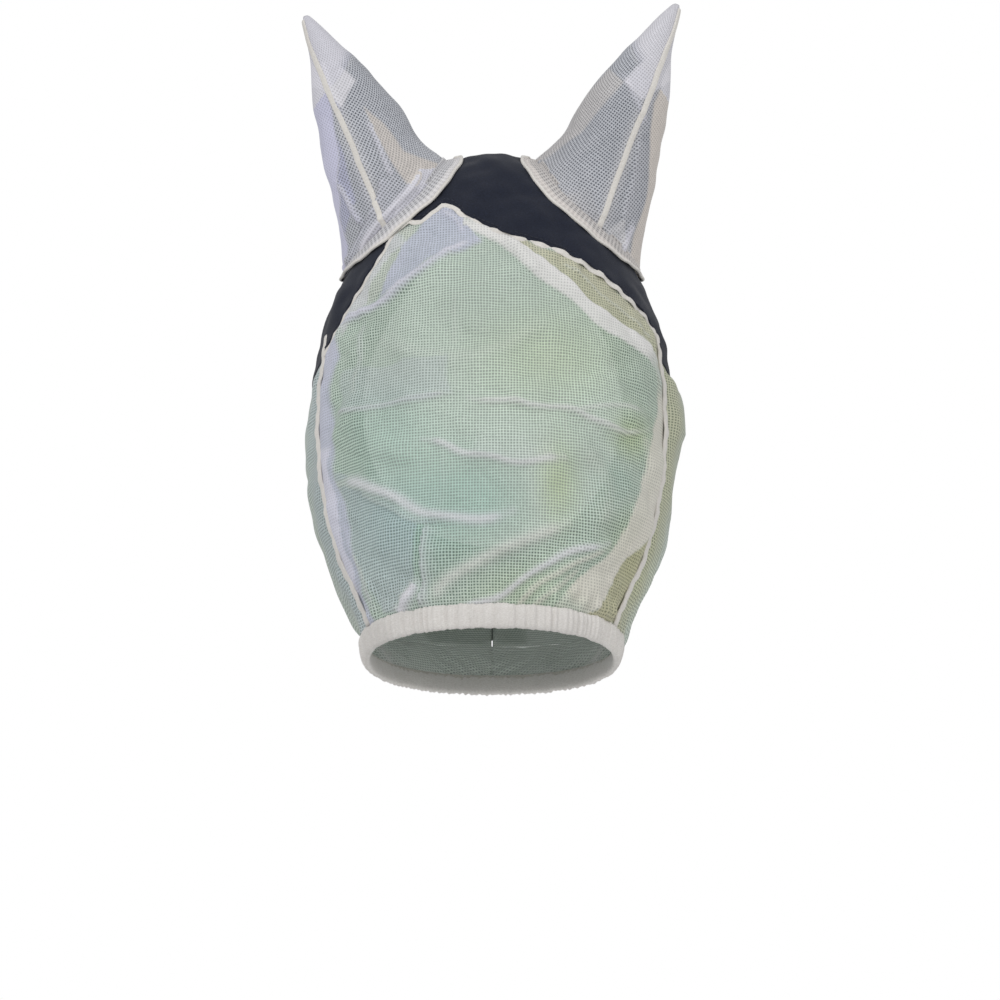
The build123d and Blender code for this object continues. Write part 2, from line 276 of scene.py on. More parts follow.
def curve_through(points, count=40):
    """Evenly spaced points of a smooth curve through the given ones."""
    points = np.asarray(points, float)
    keys = run_along(points)
    table = np.column_stack([keys, points])
    return smooth_rows(table, np.linspace(0, keys[-1], count))


# ---------------------------------------------------------------- meshes
def quads(rows, cols):
    index = np.arange(rows * cols).reshape(rows, cols)
    faces = np.stack([index[:-1, :-1], index[:-1, 1:], index[1:, 1:], index[1:, :-1]], axis=-1)
    return [tuple(f) for f in faces.reshape(-1, 4)]


def grid(a_low, a_high, a_count, q_low, q_high, q_count):
    a, q = np.meshgrid(np.linspace(a_low, a_high, a_count), np.linspace(q_low, q_high, q_count))
    return np.column_stack([a.ravel(), q.ravel()]), quads(q_count, a_count)


def clip(flat, faces, value):
    """Cut a flat mesh along value = 0 and keep the side above zero."""
    v = value(flat)
    v = np.where(np.abs(v) < 1e-7, 1e-7, v)
    points, made, kept = list(flat), {}, []
    for face in faces:
        inside = [v[i] > 0 for i in face]
        if all(inside):
            kept.append(face)
            continue
        if not any(inside):
            continue
        out = []
        for k, i in enumerate(face):
            j = face[(k + 1) % len(face)]
            if v[i] > 0:
                out.append(i)
            if (v[i] > 0) != (v[j] > 0):
                key = (min(i, j), max(i, j))
                if key not in made:
                    t = v[i] / (v[i] - v[j])
                    made[key] = len(points)
                    points.append(flat[i] * (1 - t) + flat[j] * t)
                out.append(made[key])
        if len(out) > 2:
            kept.append(tuple(out))
    used = sorted({i for f in kept for i in f})
    renumber = {old: new for new, old in enumerate(used)}
    return np.array([points[i] for i in used]), [tuple(renumber[i] for i in f) for f in kept]


def make_mesh(name, points, faces, uv=None, **attributes):
    """A mesh object from points in millimetres, with fabric coordinates in metres and point values."""
    mesh = bpy.data.meshes.new(name)
    mesh.from_pydata((np.asarray(points) * MM).tolist(), [], faces)
    mesh.validate()
    mesh.shade_smooth()
    if uv is not None:
        layer = mesh.uv_layers.new(name="UVMap")
        loops = np.zeros(len(mesh.loops), int)
        mesh.loops.foreach_get("vertex_index", loops)
        layer.data.foreach_set("uv", (uv[loops] * MM).astype(np.float32).ravel())
    for key, values in attributes.items():
        layer = mesh.attributes.new(key, "FLOAT", "POINT")
        layer.data.foreach_set("value", np.broadcast_to(values, len(points)).astype(np.float32))
    obj = bpy.data.objects.new(name, mesh)
    bpy.context.collection.objects.link(obj)
    return obj


def settle(obj):
    """Apply every modifier on an object."""
    graph = bpy.context.evaluated_depsgraph_get()
    mesh = bpy.data.meshes.new_from_object(obj.evaluated_get(graph))
    obj.modifiers.clear()
    obj.data = mesh
    return obj


def thicken(obj, thickness, offset=1.0):
    """Give a sheet its thickness in millimetres; offset 1 grows it outwards."""
    modifier = obj.modifiers.new("thickness", "SOLIDIFY")
    modifier.thickness = thickness * MM
    modifier.offset = offset
    return settle(obj)


def tube(name, centres, across, outward, section, closed=True, **attributes):
    """Sweep a closed section (list of across, outward offsets) along centres, in millimetres."""
    count, sides = len(centres), len(section)
    points = []
    for k, (s, t) in enumerate(section):
        points.append(centres + across * np.asarray(s)[..., None] + outward * np.asarray(t)[..., None])
    points = np.stack(points, axis=1).reshape(-1, 3)
    faces = []
    for i in range(count if closed else count - 1):
        j = (i + 1) % count
        for k in range(sides):
            m = (k + 1) % sides
            faces.append((i * sides + k, i * sides + m, j * sides + m, j * sides + k))
    if not closed:
        faces.append(tuple(range(sides))[::-1])
        faces.append(tuple((count - 1) * sides + k for k in range(sides)))
    run = run_along(centres)
    round_share = np.arange(sides) / sides
    width = max(abs(np.max([np.max(s) for s, _ in section])), 1) * 4
    uv = np.column_stack([np.repeat(run, sides), np.tile(round_share * width, count)])
    return make_mesh(name, points, faces, uv=uv, **attributes)


def oval(width, thickness, count=12, power=0.6):
    """Rounded flat section, as wide and thick as given."""
    angles = np.linspace(0, 2 * math.pi, count, endpoint=False)
    across, out = signed_power(np.cos(angles), power), signed_power(np.sin(angles), power)
    return list(zip(across * width / 2, out * thickness / 2))


# ---------------------------------------------------------------- materials
class Nodes:
    """Short calls for building a procedural material."""

    def __init__(self, name, roughness=0.8):
        self.material = bpy.data.materials.new(name)
        self.material.use_nodes = True
        self.tree = self.material.node_tree
        self.shader = self.tree.nodes["Principled BSDF"]
        self.shader.inputs["Roughness"].default_value = roughness
        self.shader.inputs["Specular IOR Level"].default_value = 0.3

    def add(self, kind, settings=(), **sockets):
        node = self.tree.nodes.new(kind)
        for key, value in dict(settings).items():
            setattr(node, key, value)
        for key, value in sockets.items():
            self.set(node.inputs[int(key[1:]) if key[1:].isdigit() else key.replace("_", " ")], value)
        return node

    def set(self, socket, value):
        if isinstance(value, bpy.types.NodeSocket):
            self.tree.links.new(value, socket)
        else:
            socket.default_value = value

    def coords(self, kind="Object"):
        return self.add("ShaderNodeTexCoord").outputs[kind]

    def value(self, name):
        return self.add("ShaderNodeAttribute", {"attribute_name": name}).outputs["Fac"]

    def math(self, operation, a, b=0.0, clamp=False):
        return self.add("ShaderNodeMath", {"operation": operation, "use_clamp": clamp}, _0=a, _1=b).outputs[0]

    def noise(self, vector, scale, detail=2.0, roughness=0.5):
        node = self.add("ShaderNodeTexNoise", Scale=scale, Detail=detail, Roughness=roughness)
        self.set(node.inputs["Vector"], vector)
        return node.outputs["Fac"]

    def stretch(self, vector, scale):
        return self.add("ShaderNodeMapping", Vector=vector, Scale=scale).outputs["Vector"]

    def spread(self, value, low, high, to_low=0.0, to_high=1.0):
        node = self.add("ShaderNodeMapRange", {"clamp": True}, Value=value)
        for key, number in zip(("From Min", "From Max", "To Min", "To Max"), (low, high, to_low, to_high)):
            self.set(node.inputs[key], number)
        return node.outputs["Result"]

    def mix(self, share, a, b, blend="MIX"):
        node = self.add("ShaderNodeMix", {"data_type": "RGBA", "blend_type": blend})
        self.set(node.inputs[0], share)
        for index, colour in ((6, a), (7, b)):
            is_socket = isinstance(colour, bpy.types.NodeSocket)
            self.set(node.inputs[index], colour if is_socket else rgb(colour))
        return node.outputs[2]

    def bump(self, height, distance, strength=1.0):
        node = self.add("ShaderNodeBump", Strength=strength, Distance=distance, Height=height)
        self.set(self.shader.inputs["Normal"], node.outputs["Normal"])

    def colour(self, value):
        self.set(self.shader.inputs["Base Color"], value)


def rgb(srgb):
    """A colour given as it looks on screen, 0 to 255."""
    shares = [c / 255 for c in srgb]
    return (*(c / 12.92 if c <= 0.04045 else ((c + 0.055) / 1.055) ** 2.4 for c in shares), 1.0)


def weave(nodes, pitch, width):
    """Threads of a woven mesh from the fabric's own coordinates: 1 on a thread, 0 between threads."""
    uv = nodes.coords("UV")
    split = nodes.add("ShaderNodeSeparateXYZ", Vector=uv)
    wobble = nodes.noise(uv, 60.0, 1.0)
    shift = nodes.math("MULTIPLY", nodes.math("SUBTRACT", wobble, 0.5), pitch * 0.5)
    bands = []
    for axis in (0, 1):
        run = nodes.math("ADD", split.outputs[axis], shift)
        wave = nodes.math("ABSOLUTE", nodes.math("SINE", nodes.math("MULTIPLY", run, math.pi / pitch)))
        bands.append(wave)
    near = nodes.math("MINIMUM", bands[0], bands[1])
    edge = math.sin(math.pi * width / 2)
    return nodes.spread(near, edge * 0.75, edge * 1.35, 1.0, 0.0)


TEAL_DYE, YELLOW_DYE = (214, 243, 244), (246, 247, 214)


def mesh_material(name, light, hole_shade, pale, warm, cool, pitch, clear, width=0.46):
    """Sheer woven mesh, from three point values of its piece.

    layered (0 to 1) is how far layers lie over each other, and along ridge crests a painted highlight;
    tone runs from beige (-1) to lavender (1), and green from yellow (-1) to teal (1).
    """
    nodes = Nodes(name, 0.75)
    thread = weave(nodes, pitch, width)
    layers_and_highlight, tone, green = nodes.value("layered"), nodes.value("tone"), nodes.value("green")
    where = nodes.coords()
    broad = nodes.noise(where, 14.0, 2.0)
    fine = nodes.noise(where, 420.0, 2.0)
    threads = nodes.mix(nodes.spread(broad, 0.35, 0.65), light, tuple(c * 0.93 for c in light))
    # threads turn pale where cloth lies doubled, and along ridge crests, where the pale is a painted
    # highlight
    threads = nodes.mix(nodes.math("MULTIPLY", layers_and_highlight, 0.9, True), threads, pale)
    # painted shade: the holes take hole_shade, a dark colour that stands for the shaded inside of the hood
    # seen through the mesh; where layers lie over each other they fill with pale cloth
    shaded_holes = nodes.mix(layers_and_highlight, hole_shade, tuple(c * 0.86 for c in pale))
    thread_soft = nodes.math("MULTIPLY", thread, nodes.spread(fine, 0.2, 0.8, 0.82, 1.0))
    cloth = nodes.mix(thread_soft, shaded_holes, threads)
    for limit, tint in ((-1.0, warm), (1.0, cool)):
        cloth = nodes.mix(nodes.spread(tone, 0.0, limit, 0.0, 0.9), cloth, tint, "MULTIPLY")
    bare = nodes.math("SUBTRACT", 1.0, layers_and_highlight, True)
    for limit, amount, dye in ((1.0, 0.6, TEAL_DYE), (-1.0, 0.8, YELLOW_DYE)):
        share = nodes.math("MULTIPLY", nodes.spread(green, 0.0, limit, 0.0, amount), bare)
        cloth = nodes.mix(share, cloth, dye, "MULTIPLY")
    nodes.colour(cloth)
    solid = nodes.math("MAXIMUM", thread_soft, nodes.spread(layers_and_highlight, 0.0, 1.0, clear, 0.98))
    nodes.set(nodes.shader.inputs["Alpha"], solid)
    nodes.bump(thread, 0.0003, 0.6)
    nodes.shader.inputs["Sheen Weight"].default_value = 0.15
    return nodes.material


def cloth_material(name, base, dark, scale, bump_mm, rough=0.9, sheen=0.2, rib=(1, 1, 1), mottle=0.35):
    """Closely knitted or woven cloth: fine ribs and uneven dye."""
    nodes = Nodes(name, rough)
    where = nodes.coords()
    ribbed = nodes.noise(nodes.stretch(where, rib), scale, 2.0, 0.6)
    broad = nodes.noise(where, 22.0, 3.0)
    shade = nodes.mix(nodes.spread(ribbed, 0.3, 0.7), dark, base)
    shade = nodes.mix(nodes.spread(broad, 0.3, 0.75, 0.0, mottle), shade, tuple(c * 0.72 for c in base))
    nodes.colour(shade)
    nodes.bump(ribbed, bump_mm * MM, 0.7)
    nodes.shader.inputs["Sheen Weight"].default_value = sheen
    return nodes.material


# the hole colours are painted shade of the hood's dark inside, seen through the mesh's holes
WHITE_MESH = mesh_material("white_mesh", light=(212, 226, 214), hole_shade=(104, 130, 114), pale=(238, 236, 235),
                           warm=(240, 228, 198), cool=(227, 229, 252), pitch=0.00195, clear=0.62)
EAR_MESH = mesh_material("ear_mesh", light=(204, 207, 214), hole_shade=(100, 104, 116), pale=(240, 238, 240),
                         warm=(241, 227, 206), cool=(226, 228, 255), pitch=0.0019, clear=0.58)
HEM = cloth_material("mesh_hem", (238, 235, 231), (212, 207, 199), 900.0, 0.25, 0.85, 0.25, (1, 1, 3))
NAVY = cloth_material("navy_knit", (35, 41, 58), (18, 21, 32), 1100.0, 0.25, 0.92, 0.12, (1, 1, 2.4))
NAVY_TAPE = cloth_material("navy_binding", (34, 37, 47), (18, 20, 27), 1500.0, 0.2, 0.8, 0.1, (1, 3, 1))
WEBBING = cloth_material("navy_webbing", (36, 39, 50), (18, 20, 27), 1300.0, 0.3, 0.75, 0.1, (1, 1, 3))
CASING = cloth_material("ruched_casing", (240, 237, 234), (212, 208, 202), 800.0, 0.3, 0.85, 0.25, (1, 1, 3))
ELASTIC = cloth_material("elastic", (225, 222, 214), (170, 166, 156), 900.0, 0.2, 0.7, 0.1, (1, 1, 4))
LOOP = cloth_material("loop_tape", (48, 51, 62), (16, 18, 24), 1700.0, 0.5, 0.97, 0.5)
HOOK = cloth_material("hook_tape", (40, 43, 52), (10, 11, 15), 2400.0, 0.5, 0.6, 0.0)
DARK_THREAD = cloth_material("dark_thread", (62, 65, 78), (26, 28, 36), 2600.0, 0.1, 0.6, 0.0)


def finish_piece(obj, material, nodes=(), body="hood"):
    obj.data.materials.clear()
    obj.data.materials.append(material)
    obj.data.shade_smooth()
    if nodes:
        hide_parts(*nodes)
    if body:
        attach(obj, body)
    return obj


# ---------------------------------------------------------------- zones of the hood
BROW_LINE = np.array([
    (-122, -140), (-112, -127), (-92, -92), (-62, -42), (-54, -37.5), (-46, -38), (-40, -33), (-32, -26.5),
    (-26, -28), (-20, -33), (-8, -41), (6, -47), (20, -51.5), (33, -55), (47, -60), (61, -67),
    (75, -76), (89, -88), (103, -102), (112, -118), (118, -136), (124, -146)], float)


def crown_edge(x):
    """Height of the crown's lower edge on the front, which the worn mesh pulls out of line."""
    return np.interp(x, BROW_LINE[:, 0], BROW_LINE[:, 1])


# amount (teal above zero, yellow below), middle across and up, half-width and half-height
DYE_PATCHES = [
    (1.0, -55, -235, 42, 46),
    (0.8, -8, -225, 30, 26),
    (0.5, -70, -175, 30, 24),
    (0.5, 85, -215, 16, 20),
    (-1.0, 43, -214, 13, 25),
    (-1.0, 93, -184, 13, 16),
    (-0.6, 40, -130, 45, 30),
    (-0.5, 20, -285, 40, 20),
    (-0.6, 92, -255, 16, 40),
]


def tint_of(points):
    """Teal (above zero) and yellow (below zero) patches of the dyed mesh."""
    x, z = points[:, 0], points[:, 2]
    total = np.zeros(len(points))
    for amount, middle_x, middle_z, half_width, half_height in DYE_PATCHES:
        total += amount * np.exp(-((x - middle_x) / half_width) ** 2 - ((z - middle_z) / half_height) ** 2)
    return np.clip(total, -1, 1) * (points[:, 1] < 20)


def neck_room(p):
    """Above zero in front of the sloping neck edge."""
    _, v, h = to_head(p)
    return (NECK_TOP - v) * math.sin(NECK_SLOPE) - h * math.cos(NECK_SLOPE)


def crown_room(p):
    """Above zero inside the crown's zone."""
    u, v, h = to_head(p)
    front = p[..., 2] - crown_edge(p[..., 0])
    side = h - np.interp(v, [0, FLAP_SETBACK, 194.8, 400], [-138, -150, -259.5, -259.5])
    return np.where(v < 0, front, side)


def in_hood(test):
    """A test on points in the row frame, as a test on the flat (angle, drop) mesh."""
    return lambda flat: test(hood(flat[:, 0], flat[:, 1]))


def weld(obj, distance=0.02):
    """Join points closer than a distance, drop loose ones and turn the faces one way."""
    mesh = bmesh.new()
    mesh.from_mesh(obj.data)
    bmesh.ops.remove_doubles(mesh, verts=mesh.verts, dist=distance * MM)
    loose = [v for v in mesh.verts if not v.link_faces]
    bmesh.ops.delete(mesh, geom=loose, context="VERTS")
    bmesh.ops.recalc_face_normals(mesh, faces=mesh.faces)
    mesh.to_mesh(obj.data)
    mesh.free()
    return obj


# ---------------------------------------------------------------- folds of the face mesh, seen from the front
# path of (x, z), half-width, height, kind, how far layered (on a ridge, a painted highlight along its crest),
# tone
FOLDS = [
    # the gathered edge that crosses from the peak to the right shoulder and runs down the right side
    (((-27, -31), (-8, -43), (12, -57), (47, -85), (82, -112), (104, -130),
      (114, -144)), 5.2, 3.6, "band", 0.9, 0.0),
    (((113, -138), (118, -152), (118, -172), (113, -196), (104, -222), (89, -252), (68, -278),
      (46, -302)), 8.5, 3.2, "band", 0.8, -0.35),
    (((8, -50), (18, -62), (34, -78)), 3.2, 2.2, "band", 0.7, 0.0),
    (((40, -66), (66, -84), (90, -104), (108, -124)), 3.0, 2.0, "lap", 0.5, -0.8),
    (((84, -108), (100, -120), (112, -140)), 2.0, 1.8, "ridge", 0.5, -0.4),
    # the ridge to the left, bright with a painted highlight along its crest, with a doubled triangle above it
    (((-106, -112), (-84, -99), (-60, -84), (-34, -69), (-8, -52)), 2.4, 3.8, "ridge", 0.95, 0.7),
    (((-34, -31), (-22, -40), (-17, -50)), 2.2, 1.6, "ridge", 0.7, 0.8),
    (((-60, -42), (-74, -62), (-86, -84), (-104, -116)), 6.0, 1.6, "band", 0.6, 0.3),
    (((-104, -116), (-111, -142), (-114, -170), (-113, -194)), 6.0, 1.6, "band", 0.62, 0.8),
    # doubled strip down the left edge
    (((-113, -180), (-112, -206), (-106, -240), (-97, -274), (-82, -318)), 7.0, 2.4, "band", 0.85, 0.8),
    # long soft creases across the nose
    (((-104, -170), (-85, -166), (-55, -160), (-26, -156)), 2.0, 2.2, "ridge", 0.5, 0.5),
    (((-14, -158), (20, -163), (54, -168), (66, -175), (78, -181),
      (103, -178)), 2.0, 2.8, "ridge", 0.65, 0.1),
    (((54, -168), (78, -164), (96, -166)), 1.8, 1.8, "ridge", 0.45, 0.1),
    (((-43, -186), (-28, -191), (-5, -198), (14, -203), (30, -202),
      (47, -198)), 2.6, 3.0, "ridge", 0.75, 0.2),
    (((-16, -196), (10, -201), (44, -200)), 5.5, 1.8, "lap", 0.35, 0.2),
    (((-104, -214), (-90, -212), (-76, -218), (-56, -229), (-36, -235), (-8, -237),
      (14, -234)), 4.2, 3.6, "ridge", 0.8, 0.3),
    (((-90, -218), (-60, -236), (-30, -243)), 4.0, 2.0, "lap", 0.4, 0.6),
    (((-29, -302), (-14, -296), (6, -286), (30, -272), (52, -258),
      (74, -252)), 2.4, 3.2, "ridge", 0.85, 0.3),
    (((-44, -290), (-26, -276), (2, -260), (30, -250), (47, -241)), 5.0, 2.8, "ridge", 0.55, -0.1),
    (((12, -300), (26, -286), (50, -268), (74, -254)), 2.0, 2.2, "ridge", 0.6, -0.3),
    (((22, -302), (40, -286), (58, -268)), 1.8, 1.8, "ridge", 0.5, -0.3),
    (((-42, -238), (-46, -262), (-46, -280), (-48, -298)), 2.2, 3.4, "lap", 0.7, 0.4),
    (((-50, -282), (-55, -292), (-60, -302)), 4.0, 3.0, "ridge", 0.95, 0.4),
    (((-104, -232), (-88, -262), (-74, -296)), 1.8, 1.6, "ridge", 0.5, 0.4),
    (((-26, -84), (-27, -120), (-26, -156)), 1.2, 1.2, "lap", 0.16, 0.1),
    (((-33, -184), (-34, -210), (-33, -240)), 1.2, 1.2, "lap", 0.16, 0.1),
    (((-84, -106), (-86, -130), (-88, -160)), 1.6, 1.0, "ridge", 0.25, 0.4),
    (((40, -120), (30, -150), (36, -186)), 6.0, 2.0, "ridge", 0.05, 0.0),
    (((-70, -120), (-40, -132), (0, -128), (34, -110)), 5.0, 2.0, "ridge", 0.12, 0.0),
    (((60, -190), (72, -214), (70, -244)), 5.0, 2.4, "ridge", 0.12, -0.4),
    (((100, -180), (106, -206), (96, -236)), 3.0, 1.8, "ridge", 0.3, -0.2),
]
# areas where the cloth lies doubled: outline, how far layered, tone
AREAS = [
    (((-46, -38), (-33, -27), (-26, -28), (-8, -52), (-60, -84), (-74, -92), (-62, -62)), 0.62, 1.0),
    (((4, -48), (47, -61), (75, -77), (103, -102), (118, -136), (113, -139), (82, -110), (47, -82),
      (16, -58)), 0.34, -0.8),
    (((118, -141), (117, -186), (100, -236), (70, -280), (56, -306), (96, -306), (116, -220),
      (125, -180)), 0.34, -1.0),
    (((-104, -108), (-126, -140), (-126, -200), (-98, -320), (-74, -320), (-88, -262), (-100, -214),
      (-106, -170), (-100, -130)), 0.66, 1.0),
    (((-70, -216), (-100, -210), (-98, -240), (-72, -300), (-52, -300), (-46, -240)), 0.22, 0.5),
    (((-100, -100), (-62, -42), (-50, -40), (-58, -70), (-84, -102)), 0.3, -0.1),
    (((-100, -168), (-26, -156), (-28, -130), (-60, -134), (-96, -140)), 0.16, 0.3),
]


def inside_of(xz, outline, edge=1.5):
    """1 well inside an outline, 0 outside, soft over the edge."""
    outline = np.asarray(outline, float)
    closed = np.vstack([outline, outline[:1]])
    d, _, _ = to_path(xz, closed)
    inside = np.zeros(len(xz), bool)
    for (x0, z0), (x1, z1) in zip(closed[:-1], closed[1:]):
        crosses = (z0 > xz[:, 1]) != (z1 > xz[:, 1])
        where = x0 + (xz[:, 1] - z0) / (z1 - z0 if z1 != z0 else 1e-9) * (x1 - x0)
        inside ^= crosses & (xz[:, 0] < where)
    return smoothstep(-edge, edge, np.where(inside, d, -d))


def fold_height(xz, folds, wander=3.0, seed=3):
    """Height, layering and tone that a list of folds gives at points seen at x, z."""
    place = wandering(xz, xz, 46, seed, wander * 0.4)
    height, layers_and_highlight, tone = (np.zeros(len(xz)) for _ in range(3))
    for path, width, rise, kind, layered, tint in folds:
        path = curve_through(path, 24)
        d, side, share = to_path(place, path)
        ends = smoothstep(0, 0.12, share) * smoothstep(1, 0.88, share)
        ends = np.maximum(ends, 0.35 * (d < width))
        if kind == "ridge":
            shape = np.exp(-(d / width) ** 2)
            inside = np.exp(-(d / width) ** 2 * 1.3)
        elif kind == "lap":
            shape = np.where(side > 0, np.exp(-side / (width * 2.2)), 0) * smoothstep(-0.8, 0.8, side)
            inside = shape * 0.9
        else:
            wavy = width * (1 + 0.16 * np.sin(share * 21 + width))
            crown = 0.55 + 0.45 * np.cos(np.clip(d / wavy, 0, 1) * math.pi / 2)
            shape = smoothstep(wavy + 1.4, wavy - 1.2, d) * crown
            inside = smoothstep(wavy + 0.6, wavy - 0.6, d)
        height += rise * shape * ends
        # on a ridge this whitening is a painted highlight along the crest; on bands and laps it is cloth
        # lying doubled
        hold = layered * inside * ends
        tone = np.where(hold > layers_and_highlight, tint * np.clip(hold * 1.6, 0, 1), tone)
        layers_and_highlight = np.maximum(layers_and_highlight, hold)
    return height, layers_and_highlight, tone


def lay_doubled(areas, xz, layers_and_highlight, tone, edge=1.5, facing=1.0):
    """Add areas where the cloth lies doubled to its layering and tone; and the share of each area."""
    shares = []
    for outline, layered, tint in areas:
        share = inside_of(xz, outline, edge) * facing
        held = share * layered
        tone = np.where(held > layers_and_highlight, tint * share, tone)
        layers_and_highlight = np.maximum(layers_and_highlight, held) + 0.25 * np.minimum(layers_and_highlight, held)
        shares.append(share)
    return layers_and_highlight, tone, shares


def wandering(points, xz, size, seed, amount):
    """Places shifted by smooth waves, so that edges through them aren't straight."""
    return xz + np.stack([ripple(points, size, seed), ripple(points, size, seed + 1)], axis=-1) * amount


def front_fabric(flat, seed=11):
    """Where the hood's mesh lies, with its slack, folds and gathers; and how layered it is."""
    a, q = flat[:, 0], flat[:, 1]
    base = hood(a, q)
    xz = base[:, [0, 2]]
    height, layers_and_highlight, tone = fold_height(xz, FOLDS)
    layers_and_highlight, tone, shares = lay_doubled(AREAS, wandering(xz, xz, 40, 14, 1.2), layers_and_highlight, tone)
    facing = np.clip(-hood_normal(a, q)[:, 1], 0, 1)
    seen = smoothstep(0.0, 0.25, facing)
    height, layers_and_highlight, tone = (height + 0.8 * sum(shares)) * facing, layers_and_highlight * seen, tone * seen
    soft = 1.5 * ripple(base, 62, seed) + 0.7 * ripple(base, 26, seed + 1) + 0.28 * ripple(base, 11, seed + 2)
    round_run = arc(a, q)
    above = FACE_LENGTH - NOSE_BAND - q
    gathers = 0.9 * np.sin(round_run * 0.62 + 1.3 * ripple(xz, 24, 5)) + 0.6 * np.sin(round_run * 0.27 + 2)
    gathers = np.exp(-above / 20) * gathers
    brow = -crown_room(base)
    tucks = 0.8 * np.sin(round_run * 0.36 + ripple(xz, 30, 8)) + 0.4 * np.sin(round_run * 0.8)
    tucks = np.exp(-np.abs(brow) / 16) * tucks
    lift = 2.4 + soft + height + gathers * smoothstep(0, 5, above) * 1.6 + tucks * smoothstep(0, 6, brow)
    hold = smoothstep(0, 7, above) * smoothstep(-1, 7, brow)
    beside = smoothstep(0, 11, -to_head(base)[1])
    lift = 0.5 + np.maximum(lift, 0) * (0.25 + 0.75 * hold) * (0.15 + 0.85 * beside)
    layers_and_highlight = np.clip(layers_and_highlight + 0.10 * np.exp(-above / 12) + 0.12 * np.exp(-np.abs(brow) / 8), 0, 1)
    return base + hood_normal(a, q) * np.clip(lift, 0.2, 9)[:, None], layers_and_highlight, tone


def free_of_tabs(p):
    """0 under the closing tabs, 1 a little way off."""
    u, v, h = to_head(p)
    far = np.full(len(p), 99.0)
    for _, drop in TAB_DROPS:
        du = np.maximum(np.maximum(-52 - u, u - 28), 0)
        dq = np.maximum(np.abs(-h - drop) - 15, 0)
        far = np.minimum(far, np.hypot(du, dq))
    return np.where(v > FLAP_SETBACK, smoothstep(0, 12, far), 1.0)


SEAM_LIFT = 1.4       # where the cheek and flap mesh meet the knit, both lie this far off the hood form


def side_fabric(flat, seed=31):
    """Where the cheek and flap mesh lies; and how layered it is, and its tone."""
    a, q = flat[:, 0], flat[:, 1]
    base = hood(a, q)
    above = FACE_LENGTH - NOSE_BAND - q
    round_run = arc(a, q)
    _, v, _ = to_head(base)
    gathers = np.exp(-np.maximum(above, 0) / 20) * np.sin(round_run * 0.55 + ripple(base, 30, 9))
    soft = 1.2 * ripple(base, 62, seed) + 0.6 * ripple(base, 27, seed + 1)
    hem = np.exp(-np.abs(v - FLAP_SETBACK) / 6)
    lift = 0.6 + np.maximum(1.6 + soft + 1.4 * gathers, 0) * smoothstep(0, 6, np.abs(v - FLAP_SETBACK))
    x, z = base[:, 0], base[:, 2]
    puff = np.where(x > 0, 6.5 * np.exp(-((z + 172) / 30) ** 2), 3.0 * np.exp(-((z + 132) / 22) ** 2))
    lift = 0.6 + (lift - 0.6) * smoothstep(0, 10, v) + puff * smoothstep(0, 14, v) * smoothstep(70, 30, v)
    lift = SEAM_LIFT + (lift - SEAM_LIFT) * smoothstep(0, 9, -crown_room(base))
    lift = 0.6 + (lift - 0.6) * free_of_tabs(base)
    layers_and_highlight = np.clip(0.25 + 0.5 * hem + 0.12 * np.exp(-above / 12), 0, 1)
    tone = np.where(x > 0, -0.8, 0.6) * smoothstep(50, 5, v)
    return base + hood_normal(a, q) * np.clip(lift, 0.2, 9)[:, None], layers_and_highlight, tone


def knit_fabric(flat, seed=51):
    """Where the stretch knit lies, held down at its seams, at the ears and under the tabs."""
    a, q = flat[:, 0], flat[:, 1]
    base = hood(a, q)
    soft = 0.9 * ripple(base, 55, seed) + 0.45 * ripple(base, 20, seed + 1)
    near_ear = np.exp(-np.maximum(ear_excess(base), 0) * 2.5)
    pull = near_ear * 0.5 * np.sin(arc(a, q) * 0.42 + ripple(base, 28, seed + 2))
    under_hem = 1 - 0.75 * np.exp(-np.maximum(ear_excess(base), 0) * 1.6) * (base[:, 1] < 60)
    edge_hold = 0.35 + 0.65 * smoothstep(2, 18, neck_room(base))
    raised = 0.3 + np.maximum(1.5 + soft + pull, 0) * under_hem * edge_hold
    at_seam = smoothstep(9, 0, crown_room(base)) * smoothstep(0, 12, to_head(base)[1])
    lift = 0.3 + (raised + (SEAM_LIFT - raised) * at_seam - 0.3) * free_of_tabs(base)
    return base + hood_normal(a, q) * np.clip(lift, 0.3, 5)[:, None], np.zeros(len(a)), np.zeros(len(a))


def cloth(name, form, tests, fabric, thickness, material, slot, node, cut, area, body="hood"):
    """A panel on the hood, cut out by tests. The given cut and area, in metres, are not used."""
    flat, faces = form
    for test in tests:
        flat, faces = clip(flat, faces, in_hood(test))
    points, layers_and_highlight, tone = fabric(flat)
    uv = np.column_stack([arc(flat[:, 0], np.clip(flat[:, 1], 0, FACE_LENGTH)), flat[:, 1]])
    obj = make_mesh(name, points, faces, uv=uv, layered=layers_and_highlight, tone=tone, green=tint_of(points))
    weld(obj)
    thicken(obj, thickness)
    finish_piece(obj, material, [node], body)
    return obj


def behind(v0):
    return lambda p: to_head(p)[1] - v0


def ahead(v0):
    return lambda p: v0 - to_head(p)[1]


def below_crown(p):
    return -crown_room(p)


def under_mesh(p):
    """The throat band's zone, with a narrow edge under the mesh flap."""
    return crown_room(p) + 1.2


def cheek_or_collar(p):
    return np.maximum(FLAP_SETBACK - to_head(p)[1], COLLAR - FACE_LENGTH - to_head(p)[2])


def detail(count):
    """Steps of a grid, at least 12."""
    return max(12, int(count * (1.0)))


band_top = FACE_LENGTH - NOSE_BAND
cloth("face", grid(-1.75, 1.75, detail(230), 8, band_top, detail(210)), [ahead(0), below_crown],
      front_fabric, WEB, WHITE_MESH, "white_mesh", "face_panel", (0.30, 0.30), 0.070)
cloth("crown", grid(-math.pi, math.pi, detail(300), -CAP, 330, detail(240)),
      [crown_room, neck_room, ahead(FLAP_SETBACK), ear_excess],
      knit_fabric, KNIT, NAVY, "navy_knit", "crown_panel", (0.39, 0.16), 0.041)

